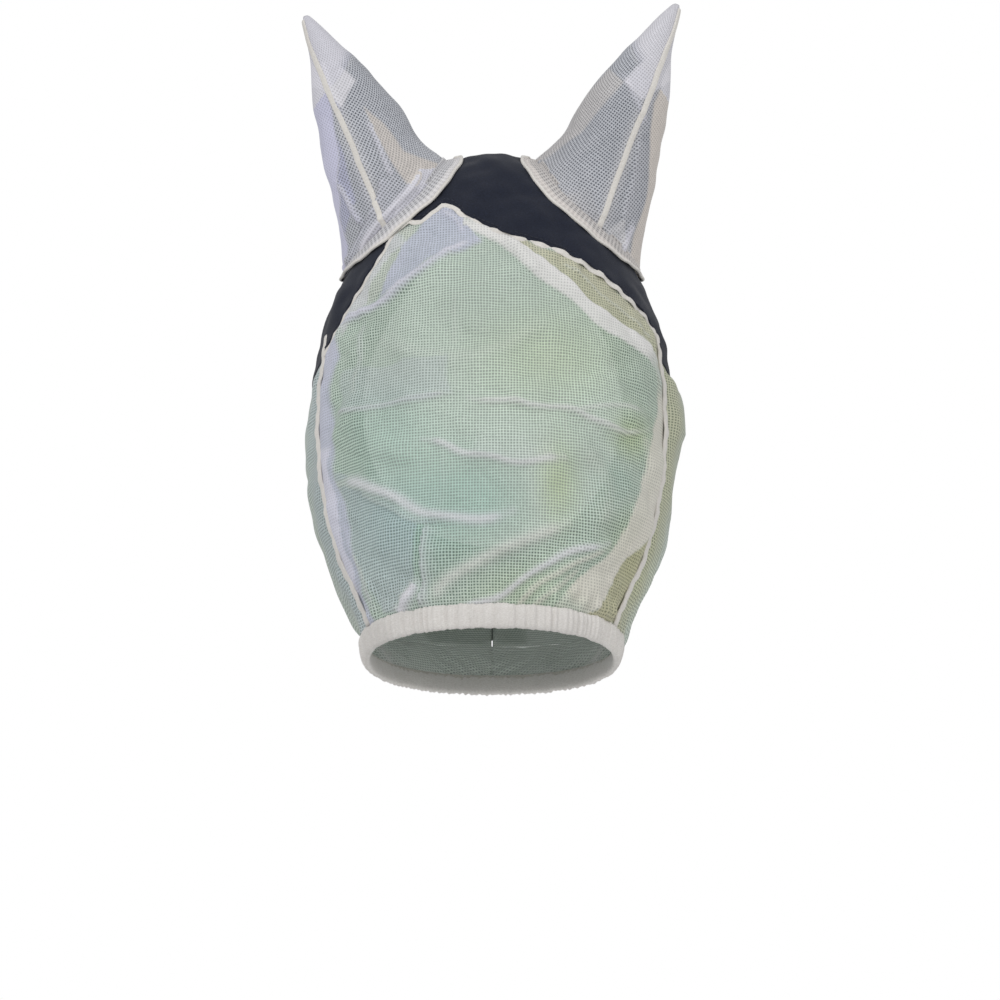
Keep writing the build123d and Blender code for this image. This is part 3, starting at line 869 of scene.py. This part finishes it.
FLAP_PIECES = []          # pairs of side and piece
for side, sign in SIDES:
    low, high = (1.0, math.pi) if sign > 0 else (-math.pi, -1.0)
    cloth(side + "_cheek", grid(low, high, detail(120), 100, band_top, detail(120)),
          [behind(0), below_crown, cheek_or_collar],
          side_fabric, WEB, WHITE_MESH, "white_mesh", side + "_cheek_panel", (0.18, 0.20), 0.022)
    flap_form = grid(low, high, detail(120), 60, FACE_LENGTH - COLLAR - 0.4, detail(150))
    flap_zone = [behind(FLAP_SETBACK + 0.2), lambda p: sign * p[..., 0] - 0.3]
    FLAP_PIECES.append((side, cloth(
        side + "_flap_mesh", flap_form, flap_zone + [below_crown],
        side_fabric, WEB, WHITE_MESH, "white_mesh", side + "_jaw_flap", (0.16, 0.16), 0.0142, None)))
    FLAP_PIECES.append((side, cloth(
        side + "_throat", flap_form, flap_zone + [under_mesh, neck_room],
        knit_fabric, KNIT, NAVY, "navy_knit", side + "_throat_band", (0.21, 0.10), 0.0108, None)))


# ---------------------------------------------------------------- seams, hems and bindings
def strip(name, flat_path, width, thickness, lift, material, node, waves, body="hood"):
    """A sewn strip along a path on the hood; waves are its uneven width and thickness along the way."""
    a, q = flat_path[:, 0], flat_path[:, 1]
    outward = hood_normal(a, q)
    centres = hood(a, q) + outward * np.broadcast_to(lift, a.shape)[:, None]
    across = unit(np.cross(unit(np.gradient(hood(a, q), axis=0)), outward))
    wide, thick = waves
    section = [(s * (1 + wide), t + thick * (1 if t > 0 else 0.2)) for s, t in oval(width, thickness, 14)]
    obj = tube(name, centres, across, outward, section, closed=False)
    return finish_piece(obj, material, [node], body)


def solve_drop(a, test, low, high):
    """Drop at which the test changes sign down the hood, for each angle."""
    start = test(hood(a, np.full(len(a), float(low)))) > 0
    return halve(lambda q: (test(hood(a, q)) > 0) == start, np.full(len(a), float(low)), float(high))


def angle_at(v, q):
    """Angle on the left-hand side where the hood is v behind, at a drop."""
    return halve(lambda a: head_coords(a, q)[1] < v, np.full(len(v), 0.2), math.pi)


def even(flat_path, step):
    """Respace a path on the hood to even steps, in millimetres."""
    run = run_along(hood(flat_path[:, 0], flat_path[:, 1]))
    where = np.linspace(0, run[-1], max(8, int(run[-1] / step)))
    return np.column_stack([np.interp(where, run, flat_path[:, k]) for k in (0, 1)]), where


# cream hem along the brow seam
a = np.linspace(-1.55, 1.55, 400)
q = solve_drop(a, crown_room, 5, 220)
in_front = to_head(hood(a, q))[1] < -1
brow, run = even(np.column_stack([a[in_front], q[in_front]]), 1.6)
drift = 0.8 * np.sin(run * 0.33) + 0.4 * np.sin(run * 0.61 + 1)
loose = smoothstep(-10, 20, hood(brow[:, 0], brow[:, 1])[:, 0])
strip("brow_hem_visual", np.column_stack([brow[:, 0], brow[:, 1] + 1.6 + drift * 0.5]), 3.6, 1.3,
      2.2 + (0.2 + 0.7 * loose) * np.sin(run * 0.42), HEM, "brow_hem",
      waves=(0.25 * loose + 0.12 * np.sin(run * 0.5), 0.2 * np.sin(run * 0.43)))

# side seams
for side, sign in SIDES:
    q = np.linspace(118, band_top - 1, 200)
    a = halve(lambda a: to_head(hood(a, q))[1] < 0, np.full(200, 0.6), 2.2)
    seam, run = even(np.column_stack([sign * a, q]), 2)
    strip(side + "_side_seam_visual", seam, 6.5, 1.8, 2.2 + 0.5 * np.sin(run * 0.2),
          HEM, side + "_side_seam", waves=(0.10 * np.sin(run * 0.8), 0.3 * np.sin(run * 0.55)))

# neck and flap bindings, in one line along the sloping edge
INSET = 4.6               # from the neck edge to the middle of its binding
BINDING, BINDING_THICKNESS, BINDING_LIFT = 11.0, 2.6, 2.7


def edge_drop(v):
    """Drop of the binding's middle where it is v behind."""
    return ((v - NECK_TOP) * math.sin(NECK_SLOPE) + INSET) / math.cos(NECK_SLOPE)


v_scan = np.linspace(42, 230, 2000)
reached = v_scan[head_coords(math.pi, edge_drop(v_scan))[1] > v_scan]
v_first, v_last = reached[0], reached[-1]
t = np.linspace(0, math.pi, 700)
v = v_first + 0.01 + (v_last - v_first - 0.02) * (1 - np.cos(t)) / 2
q = edge_drop(v)
a = angle_at(v, q)
on_crown, on_flap = v <= FLAP_SETBACK, v >= FLAP_SETBACK + 0.3
left_run = np.column_stack([a[on_crown], q[on_crown]])[::-1]
right_run = np.column_stack([2 * math.pi - a[on_crown], q[on_crown]])
neck_path, run = even(np.concatenate([left_run, right_run]), 1.8)
strip("neck_binding_visual", neck_path, BINDING, BINDING_THICKNESS, BINDING_LIFT + 0.3 * np.sin(run * 0.12),
      NAVY_TAPE, "neck_binding",
      waves=(0.05 * np.sin(run * 0.8), 0.3 * np.sin(run * 0.46) + 0.15 * np.sin(run * 1.1)))
for side, sign in SIDES:
    path, run = even(np.column_stack([sign * a[on_flap], q[on_flap]]), 1.8)
    clear = np.abs(hood(path[:, 0], path[:, 1])[:, 0]) > 0.8
    path, run = path[clear], run[clear]
    lift = BINDING_LIFT - 0.9 * (1 - free_of_tabs(hood(path[:, 0], path[:, 1])))
    FLAP_PIECES.append((side, strip(
        side + "_flap_binding_visual", path, BINDING, BINDING_THICKNESS, lift, NAVY_TAPE,
        side + "_flap_binding", (0.05 * np.sin(run * 0.8), 0.25 * np.sin(run * 0.46)), None)))

# ---------------------------------------------------------------- ruched nose casing round its elastic
CASING_WIDTH, CASING_THICKNESS, CASING_LIFT = 16.4, 5.4, 1.9
PUCKERS, SMALL_PUCKERS = 92, 151         # round the whole casing


def nose_casing():
    a = np.linspace(-math.pi, math.pi, 721)[:-1]
    q = np.full(len(a), FACE_LENGTH - NOSE_BAND / 2)
    centres, outward = hood(a, q), hood_normal(a, q)
    forward = unit(np.roll(centres, -1, axis=0) - np.roll(centres, 1, axis=0))
    run = run_along(centres)
    total = run[-1] + np.linalg.norm(centres[0] - centres[-1])

    def beat(cycles, phase):
        """A wave that closes on itself after so many cycles round the casing."""
        return np.sin(run / total * 2 * math.pi * cycles + phase)

    uneven = 2.8 * beat(7, 0.4) + 1.9 * beat(13, 2.0) + 1.1 * beat(23, 1.0)
    lumps = 0.6 * beat(19, 0.3) * beat(5, 1.0) + 0.5 * beat(31, 2.2) * beat(8, 0.0)
    pucker, small = beat(PUCKERS, uneven), beat(SMALL_PUCKERS, 2.0 * beat(9, 1.0))
    section = []
    for s, t in oval(1.0, 1.0, 20, 0.75):
        edge = abs(s) * 2
        width = CASING_WIDTH + 0.45 * pucker * edge**3 + 0.25 * small + 1.2 * lumps * (1 if s < 0 else 0.6)
        thick = CASING_THICKNESS + (1.1 * pucker + 0.5 * small + 1.4 * lumps) * (1 if t > 0 else 0.15)
        section.append((s * width, t * thick + (0.35 * small if t > 0 else 0)))
    casing = tube("nose_casing_visual", centres + outward * CASING_LIFT,
                  unit(np.cross(forward, outward)), outward, section)
    finish_piece(casing, CASING, ["nose_casing"])


nose_casing()

# ---------------------------------------------------------------- ears
TIP_SHIFT = {"left": (3.0, 3.0), "right": (-4.0, -5.0)}      # the two ears don't stand quite alike


def ear_lean(p, side, sign):
    up = smoothstep(-40, 110, p[:, 2])
    dx, dz = TIP_SHIFT[side]
    return p + np.column_stack([(-dx if sign < 0 else dx) * sign * up, 0 * up, dz * up])


# the ridge seam is a straight line seen from the front
RIDGE_ROOT = sum(EAR_STATIONS[0, 1:3]) / 2 * HALF_WIDTH
RIDGE_TIP = EAR_STATIONS[-1, 2] * HALF_WIDTH


def ridge_room(p):
    """Above zero on the outer side of the ear's ridge seam."""
    return (np.abs(p[:, 0]) - RIDGE_ROOT) * EAR_HEIGHT - (p[:, 2] + EAR_ROOT) * (RIDGE_TIP - RIDGE_ROOT)


foot_angles = np.linspace(-math.pi, math.pi, 361)
foot_heights = halve(lambda z: hood_excess(ear(foot_angles, z)) < 0, np.full(361, -88.0), 60.0)


def ear_foot(angle):
    """Height at which the ear comes out of the hood's form."""
    return np.interp((angle + math.pi) % (2 * math.pi) - math.pi, foot_angles, foot_heights)


# ear folds, with the columns of FOLDS: on a ridge the layering value is a painted highlight along its crest
EAR_FOLDS = {
    "left": [
        (((116, 76), (105, 48), (98, 26)), 2.0, 1.4, "ridge", 0.6, 0.3),
        (((88, 62), (96, 46), (104, 30)), 2.0, 1.2, "ridge", 0.55, 0.3),
        (((24, 4), (40, -18), (52, -38), (60, -52)), 2.2, 2.6, "ridge", 0.9, 0.2),
        (((46, -20), (54, -38), (64, -56)), 5.0, 3.0, "lap", 0.6, -0.5),
        (((93, -34), (90, -52), (84, -70)), 2.2, 2.6, "ridge", 0.85, 0.3),
        (((98, 20), (90, -14), (84, -40)), 3.5, 1.6, "lap", 0.3, 0.2),
        (((62, 6), (70, -14), (72, -36)), 5.0, 1.6, "ridge", 0.1, 0.1),
        (((34, -8), (52, 4), (74, 22)), 4.0, 1.2, "ridge", 0.1, 0.1),
    ],
    "right": [
        (((-112, 80), (-106, 60), (-98, 42)), 2.0, 1.4, "ridge", 0.6, 0.4),
        (((-82, 36), (-74, 14), (-66, -6)), 2.2, 1.8, "ridge", 0.6, 0.3),
        (((-48, 2), (-62, -22), (-84, -50), (-98, -74)), 2.4, 3.0, "ridge", 0.9, 0.3),
        (((-58, -8), (-64, -30), (-70, -52)), 4.0, 2.6, "lap", 0.6, 0.4),
        (((-104, -6), (-94, -26), (-84, -38)), 2.2, 2.2, "ridge", 0.7, 0.5),
        (((-74, -2), (-80, -30), (-102, -66)), 4.5, 2.6, "lap", 0.45, 0.4),
        (((-88, 10), (-84, -20), (-76, -36)), 4.0, 1.6, "ridge", 0.15, 0.3),
    ],
}
EAR_AREAS = {
    "left": [
        (((140, 120), (96, 66), (88, 56), (98, 44), (106, 52), (140, 80)), 0.82, 0.25),
        (((140, 112), (112, 62), (106, 44), (107, 20), (105, -4), (98, -34), (90, -76), (126, -76),
          (128, 100)), 0.85, -0.6),
        (((16, 6), (26, -8), (44, -36), (62, -58), (92, -80), (72, -90), (10, -40)), 0.6, -0.6),
        (((16, 10), (40, -14), (56, -44), (40, -38), (24, -14)), 0.62, 0.2),
        (((88, 56), (60, 22), (36, 4), (26, 6), (50, 34), (80, 66)), 0.4, -0.3),
        (((70, -46), (88, -34), (98, -74), (80, -84), (64, -66)), 0.55, 0.0),
    ],
    "right": [
        (((-130, 116), (-90, 62), (-98, 42), (-108, 56), (-130, 70)), 0.82, 0.15),
        (((-130, 100), (-110, 62), (-104, 36), (-102, 0), (-102, -30), (-96, -50), (-102, -84),
          (-128, -84)), 0.9, 0.9),
        (((-112, 40), (-104, 30), (-92, -20), (-98, -44), (-112, -20)), 0.35, 0.8),
        (((-84, 44), (-74, 34), (-60, 14), (-44, 6), (-34, 2), (-34, -8), (-54, -14), (-68, 8),
          (-78, 26)), 0.6, -0.55),
        (((-36, 0), (-50, 0), (-66, -26), (-92, -62), (-110, -84), (-70, -84), (-50, -40)), 0.68, 0.3),
    ],
}


TUCK_IN = 2.5       # the ear's cloth runs on below the hood's form


def ear_height(flat):
    """Height of points on the flat (angle, share of the height) mesh of an ear."""
    foot = ear_foot(flat[:, 0]) - TUCK_IN
    return foot + (EAR_TOP - foot) * flat[:, 1]


def ear_wall(flat, sign):
    return ear(flat[:, 0], ear_height(flat), 0.0, sign)


def ear_directions(angle, z, sign):
    """Outward direction of an ear's wall, and the direction up it."""
    around = ear(angle + 0.02, z, 0, sign) - ear(angle - 0.02, z, 0, sign)
    rise = unit(ear(angle, z + 1, 0, sign) - ear(angle, z - 1, 0, sign))
    return unit(np.cross(around, rise)) * sign, rise


def ear_points(flat, side, sign):
    """Where an ear's cloth lies, its outward direction, how layered it is and its tone."""
    angle, t, z = flat[:, 0], flat[:, 1], ear_height(flat)
    close = np.sqrt(np.clip(1 - (np.clip(t - 0.88, 0, 1) / 0.12) ** 2.2, 0, 1))
    base = ear(angle, z, 0.0, sign)
    middle, setback, _, _ = ear_section(z)
    core = np.column_stack([sign * middle, setback, z])
    base = core + (base - core) * close[:, None]
    normal, _ = ear_directions(angle, z, sign)
    facing = smoothstep(-0.25, 0.1, -normal[:, 1])
    height, layers_and_highlight, tone = fold_height(base[:, [0, 2]], EAR_FOLDS[side], 2.0, 21)
    tipped = smoothstep(0.66, 0.76, t + 0.05 * np.cos(angle))
    soft = 0.55 * ripple(base, 60, 61 + (sign > 0)) + 0.22 * ripple(base, 22, 63 + (sign > 0))
    base_tucks = np.exp(-t * 9) * 0.9 * np.sin(angle * 9 + 1.5 * ripple(base, 40, 67))
    place = wandering(base, base[:, [0, 2]], 50, 71, 1.0)
    layers_and_highlight, tone, _ = lay_doubled(EAR_AREAS[side], place, layers_and_highlight, tone, 1.2, facing)
    swell = np.maximum(1.4 + soft + height * facing + base_tucks, 0) * (1 - 0.6 * tipped)
    swell = 0.5 + swell * smoothstep(0, 0.05, t)
    layers_and_highlight = np.maximum(layers_and_highlight * facing, np.maximum(0.85 * tipped, 0.35 * np.exp(-t * 10)))
    layers_and_highlight = np.maximum(layers_and_highlight, 0.45 * np.exp(-(ridge_room(base) / EAR_HEIGHT / 5) ** 2))
    layers_and_highlight = np.clip(layers_and_highlight, 0, 1)
    tone = np.where(tipped > 0.3, 0.3 if sign < 0 else 0.2, tone)
    return ear_lean(base + normal * swell[:, None], side, sign), normal, layers_and_highlight, tone


def bend_with_ear(obj):
    """Bake the object's placement into its mesh."""
    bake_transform(obj)


HEM_RISE, HEM_LIFT = 6.5, 2.2            # how far the ear's hem goes up the ear, and how far off it
HEM_REACH, HEM_FLANGE = 3.0, 12.0        # how far it lies out over the knit, and how much further in front
HEM_CLEARANCE = 3.3                      # off the hood's form, so that it clears the knit
UPRIGHT = 0.25                           # share of its rows that stand up the ear

# part, side of the ridge seam, flat size and area in metres, CAD nodes
EAR_CUTS = (
    ("outer", 1, (0.10, 0.19), 0.0100, ["outer_panel", "gusset"]),
    ("inner", -1, (0.14, 0.20), 0.0150, ["inner_panel"]),
)

def ear_cloth(side, sign):
    whole, whole_faces = grid(-math.pi, math.pi, detail(220), 0, 1, detail(170))
    for part, keep, cut, area, nodes in EAR_CUTS:
        flat, faces = clip(whole, whole_faces, lambda flat: keep * ridge_room(ear_wall(flat, sign)))
        points, normal, layers_and_highlight, tone = ear_points(flat, side, sign)
        uv = np.column_stack([flat[:, 0] * 34 * (1.1 - flat[:, 1] * 0.7), points[:, 2]])
        turn = math.radians(34 * sign)
        uv = uv @ np.array([[math.cos(turn), math.sin(turn)], [-math.sin(turn), math.cos(turn)]])
        obj = make_mesh(f"{side}_ear_{part}", points, faces, uv=uv,
                        layered=layers_and_highlight, tone=tone, green=tint_of(points))
        weld(obj, 0.01)
        thicken(obj, WEB)
        finish_piece(obj, EAR_MESH, [f"{side}_ear_{node}" for node in nodes], body=None)
        bend_with_ear(obj)


def ear_ridge_seam(side, sign):
    """The seam up the front of the ear."""
    z = np.linspace(-60, EAR_TOP - 3, 200)
    line = RIDGE_ROOT + (z + EAR_ROOT) / EAR_HEIGHT * (RIDGE_TIP - RIDGE_ROOT)
    middle, _, half, _ = ear_section(z)
    cosine = np.clip((line - middle) / half, -1, 1)
    angle = -np.arccos(cosine)
    foot = ear_foot(angle) - TUCK_IN
    share = (z - foot) / (EAR_TOP - foot)
    ok = (share > 0.02) & (share < 0.985) & (np.abs(cosine) < 0.995)
    flat = np.column_stack([angle[ok], share[ok]])
    centres, normal, _, _ = ear_points(flat, side, sign)
    centres = centres + normal * 0.7
    across = unit(np.cross(unit(np.gradient(centres, axis=0)), normal))
    seam = tube(f"{side}_ear_seam_visual", centres, across, normal, oval(4.2, 1.7, 12), closed=False)
    finish_piece(seam, HEM, [f"{side}_ear_seam"], body=None)
    bend_with_ear(seam)


def ear_hem(side, sign):
    """The folded hem where the ear joins the crown. It turns out over the knit in front."""
    cols, rows = detail(300), detail(30)
    angle = np.linspace(-math.pi, math.pi, cols)
    angle[-1] = angle[0]
    foot = ear_foot(angle)
    foot_points = ear(angle, foot, 0.0, sign)
    wall, rise = ear_directions(angle, foot, sign)
    ahead_share = smoothstep(0.2, -0.7, np.sin(angle)) * smoothstep(1.0, 0.6, np.cos(angle))
    turn = np.linspace(0, 1, cols) * 2 * math.pi
    reach = HEM_REACH + HEM_FLANGE * ahead_share
    reach = reach + 1.0 * np.sin(turn * 7) * ahead_share + 0.7 * np.sin(turn * 4 + 1)
    points, layered = [], []
    for share in np.linspace(0, 1, rows):
        if share < UPRIGHT:
            p = ear(angle, foot + (UPRIGHT - share) / UPRIGHT * HEM_RISE, HEM_LIFT, sign)
        else:
            out = (share - UPRIGHT) / (1 - UPRIGHT)
            surface, outward = drop_to_hood(foot_points + (wall - rise * 0.15) * (reach * out)[:, None])
            rim = 1.0 * np.exp(-((out - 0.93) / 0.08) ** 2)
            lift = HEM_CLEARANCE + 1.6 * (1 - out) ** 2 + 0.3 * np.sin(turn * 19) * out + rim
            p = surface + outward * lift[:, None]
        points.append(p)
        hem_share = smoothstep(0.62, 0.72, share) * ahead_share + (1 - ahead_share) * 0.8
        layered.append(np.clip(0.45 + 0.5 * hem_share, 0, 1))
    points = np.array(points)
    for _ in range(3):
        points[1:-1] = 0.25 * points[:-2] + 0.5 * points[1:-1] + 0.25 * points[2:]
    faces = [f[::-1] for f in quads(rows, cols)] if sign > 0 else quads(rows, cols)
    uv = np.column_stack([np.tile(turn * 32, rows), np.repeat(np.linspace(0, 20, rows), cols)])
    cuff = make_mesh(f"{side}_ear_cuff_visual", points.reshape(-1, 3), faces, uv=uv,
                     layered=np.array(layered).ravel(), tone=-0.45 if sign > 0 else -0.1, green=0.0)
    weld(cuff, 0.05)
    thicken(cuff, 0.7)
    finish_piece(cuff, EAR_MESH, [f"{side}_ear_cuff"])
    lip = points[-1][:-1]
    _, outward = drop_to_hood(lip)
    across = unit(np.cross(unit(np.roll(points[-1], -1, axis=0)[:-1] - np.roll(lip, 1, axis=0)), outward))
    roll = tube(f"{side}_ear_hem_roll", lip + outward * 0.4, across, outward, oval(2.4, 2.0, 10))
    finish_piece(roll, HEM)


for side, sign in SIDES:
    ear_cloth(side, sign)
    ear_ridge_seam(side, sign)
    ear_hem(side, sign)


# ---------------------------------------------------------------- closing tabs
def back_path(u, q):
    """Points on the back of the hood, across and down, and their outward direction."""
    width = smooth_rows(STATIONS, q / FACE_LENGTH)[:, 0] * HALF_WIDTH
    share = np.clip(np.abs(u) / width, 0, 1) ** (SQUARENESS / 2)
    a = (math.pi - np.arcsin(share)) * np.where(u < 0, -1, 1)
    return hood(a, q), np.where(np.abs(u)[:, None] < 6, unit(to_world(0, 1, 0)), hood_normal(a, q))


def patch(name, node, across, drop, height, lift, thickness, radius, material, body, puff=0.0):
    """Strip behind the jaw, across from near to far, lying at a lift over the hood."""
    near, far = across
    flat, faces = grid(near, far, detail(90), drop - height / 2, drop + height / 2, detail(44))

    def inside_corners(f):
        dx = np.abs(f[:, 0] - (near + far) / 2) - (abs(far - near) / 2 - radius)
        dq = np.abs(f[:, 1] - drop) - (height / 2 - radius)
        return radius - np.hypot(np.maximum(dx, 0), np.maximum(dq, 0)) - 0.001

    flat, faces = clip(flat, faces, inside_corners)
    base, normal = back_path(flat[:, 0], flat[:, 1])
    bulge = puff * smoothstep(0, 4, inside_corners(flat))
    points = base + normal * (lift + bulge + 0.15 * ripple(base, 14, 91))[:, None]
    obj = make_mesh(name + "_visual", points, faces, uv=flat)
    weld(obj, 0.01)
    thicken(obj, thickness)
    bevel = obj.modifiers.new("edge", "BEVEL")
    bevel.width = thickness * 0.35 * MM
    bevel.segments = 2
    bevel.limit_method = "ANGLE"
    bevel.angle_limit = math.radians(50)
    settle(obj)
    return finish_piece(obj, material, [node], body)


for kind, drop in TAB_DROPS:
    closure = kind + "_closure"
    tab, hook, loop, root = (kind + end for end in ("_tab", "_hook", "_loop", "_root"))
    patch(tab, tab, (-45, 3.3), drop, 25, 3.7, 1.2, 5.0, WEBBING, closure)
    patch(hook, hook + "_tape", (-42, -3), drop, 19, 2.7, 1.0, 1.5, HOOK, closure)
    patch(loop, loop + "_tape", (-48, -3), drop, 25, 1.5, 0.9, 1.5, LOOP, "right_flap", puff=0.1)
    patch(root, tab + "_root", (4.3, 24), drop, 25, 1.5, 3.2, 2.0, WEBBING, "left_flap")


# ---------------------------------------------------------------- stitches
# a stitch: share of its length along, and how thick it is there
STITCH = ((-0.5, 0.35), (-0.36, 1.0), (0.36, 1.0), (0.5, 0.35))
STITCH_SIDES = 6


def stitches(name, centres, outward, lift, body, spacing=3.4, length=2.3, width=0.55):
    """A row of thread stitches along centres."""
    steps = run_along(centres)
    where = np.arange(spacing / 2, steps[-1], spacing)

    def at(values, places):
        return np.column_stack([np.interp(places, steps, values[:, k]) for k in range(3)])

    place, up = at(centres, where), unit(at(outward, where))
    run = unit(at(centres, where + 1) - at(centres, where - 1))
    beside = unit(np.cross(run, up))
    points, faces = [], []
    for middle, rise, side_way, forward in zip(place, up, beside, run):
        start = len(points)
        for along, scale in STITCH:
            for angle in np.arange(STITCH_SIDES) * 2 * math.pi / STITCH_SIDES:
                radius = width / 2 * scale
                raised = rise * (lift + math.sin(angle) * radius)
                aside = side_way * math.cos(angle) * radius
                points.append(middle + raised + aside + forward * along * length)
        rings = [[start + r * STITCH_SIDES + j for j in range(STITCH_SIDES)] for r in range(len(STITCH))]
        for ring, after in zip(rings[:-1], rings[1:]):
            for j in range(STITCH_SIDES):
                m = (j + 1) % STITCH_SIDES
                faces.append((ring[j], ring[m], after[m], after[j]))
        faces += [tuple(rings[0])[::-1], tuple(rings[-1])]
    return finish_piece(make_mesh(name, points, faces), DARK_THREAD, (), body)


def stitch_corners(name, corners, lift, body):
    corners = np.array(corners, float)
    legs = run_along(corners)
    along = np.linspace(0, legs[-1], 160)
    u, q = (np.interp(along, legs, corners[:, k]) for k in (0, 1))
    line, normal = back_path(u, q)
    stitches(name, line, normal, lift, body, 2.8, 1.9, 0.5)


for kind, drop in TAB_DROPS:
    top, low = drop - 9.5, drop + 9.5
    box = [(-41, top), (0, top), (0, low), (-41, low), (-41, top)]
    stitch_corners(kind + "_tab_thread", box, 5.0, kind + "_closure")
    box_and_slant = [(8, top), (21, top), (21, low), (8, low), (8, top), (21, low)]
    stitch_corners(kind + "_root_thread", box_and_slant, 4.85, "left_flap")

for name, path, shift, lift, slot in (
        ("neck_thread", neck_path, 3.2, 3.55, "navy_binding"),
        ("brow_thread", brow, -3.0, 3.2, "navy_knit")):
    a, q = path[:, 0], path[:, 1] + shift
    stitches(name, hood(a, q), hood_normal(a, q), lift, "hood")

# the flap pieces' placements are baked into their meshes
for side, obj in FLAP_PIECES:
    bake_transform(obj)

# elastic inside the casing keeps its own solid
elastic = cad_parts["nose_elastic"]
elastic.data.materials.clear()
elastic.data.materials.append(ELASTIC)

# ---------------------------------------------------------------- studio
def for_camera_only(tree, usual, seen):
    """One shader lights the object, and the camera sees the other."""
    ray = tree.nodes.new("ShaderNodeLightPath")
    either = tree.nodes.new("ShaderNodeMixShader")
    tree.links.new(ray.outputs["Is Camera Ray"], either.inputs[0])
    tree.links.new(usual.outputs[0], either.inputs[1])
    tree.links.new(seen.outputs[0], either.inputs[2])
    return either.outputs[0]


bpy.ops.mesh.primitive_plane_add(size=60, location=(0, 0, -1.4))
floor = bpy.context.object
floor.name = "floor"
floor_paint = bpy.data.materials.new("pale_floor")
floor_paint.use_nodes = True
tree = floor_paint.node_tree
pale = tree.nodes["Principled BSDF"]
pale.inputs["Base Color"].default_value = (0.83, 0.83, 0.83, 1)
pale.inputs["Roughness"].default_value = 0.9
white = tree.nodes.new("ShaderNodeEmission")
white.inputs["Color"].default_value = (1, 1, 1, 1)
tree.links.new(for_camera_only(tree, pale, white), tree.nodes["Material Output"].inputs["Surface"])
floor.data.materials.append(floor_paint)


def lamp(name, location, target, size, power):
    data = bpy.data.lights.new(name, "AREA")
    data.size, data.energy = size, power
    obj = bpy.data.objects.new(name, data)
    bpy.context.collection.objects.link(obj)
    obj.location = location
    obj.rotation_euler = (Vector(target) - Vector(location)).to_track_quat("-Z", "Y").to_euler()
    return obj


middle = (0, 0.02, -0.12)
lamp("key", (-1.1, -1.9, 1.5), middle, 1.3, 22)
lamp("fill", (1.6, -1.6, 0.4), middle, 1.8, 9)

world = bpy.context.scene.world or bpy.data.worlds.new("studio")
bpy.context.scene.world = world
world.use_nodes = True
tree = world.node_tree
tree.nodes.clear()
skies = []
for strength in (0.62, 1.0):
    sky = tree.nodes.new("ShaderNodeBackground")
    sky.inputs["Color"].default_value = (1, 1, 1, 1)
    sky.inputs["Strength"].default_value = strength
    skies.append(sky)
out = tree.nodes.new("ShaderNodeOutputWorld")
tree.links.new(for_camera_only(tree, *skies), out.inputs["Surface"])

camera_data = bpy.data.cameras.new("camera")
camera_data.lens = 119.3
camera_data.sensor_width = 36
camera = bpy.data.objects.new("camera", camera_data)
bpy.context.collection.objects.link(camera)
camera.location = (0.0056, -2.3, -0.2257)
camera.rotation_euler = (math.pi / 2, 0, 0)
bpy.context.scene.camera = camera
bpy.context.scene.view_settings.view_transform = "Standard"
bpy.context.scene.cycles.transparent_max_bounces = 32
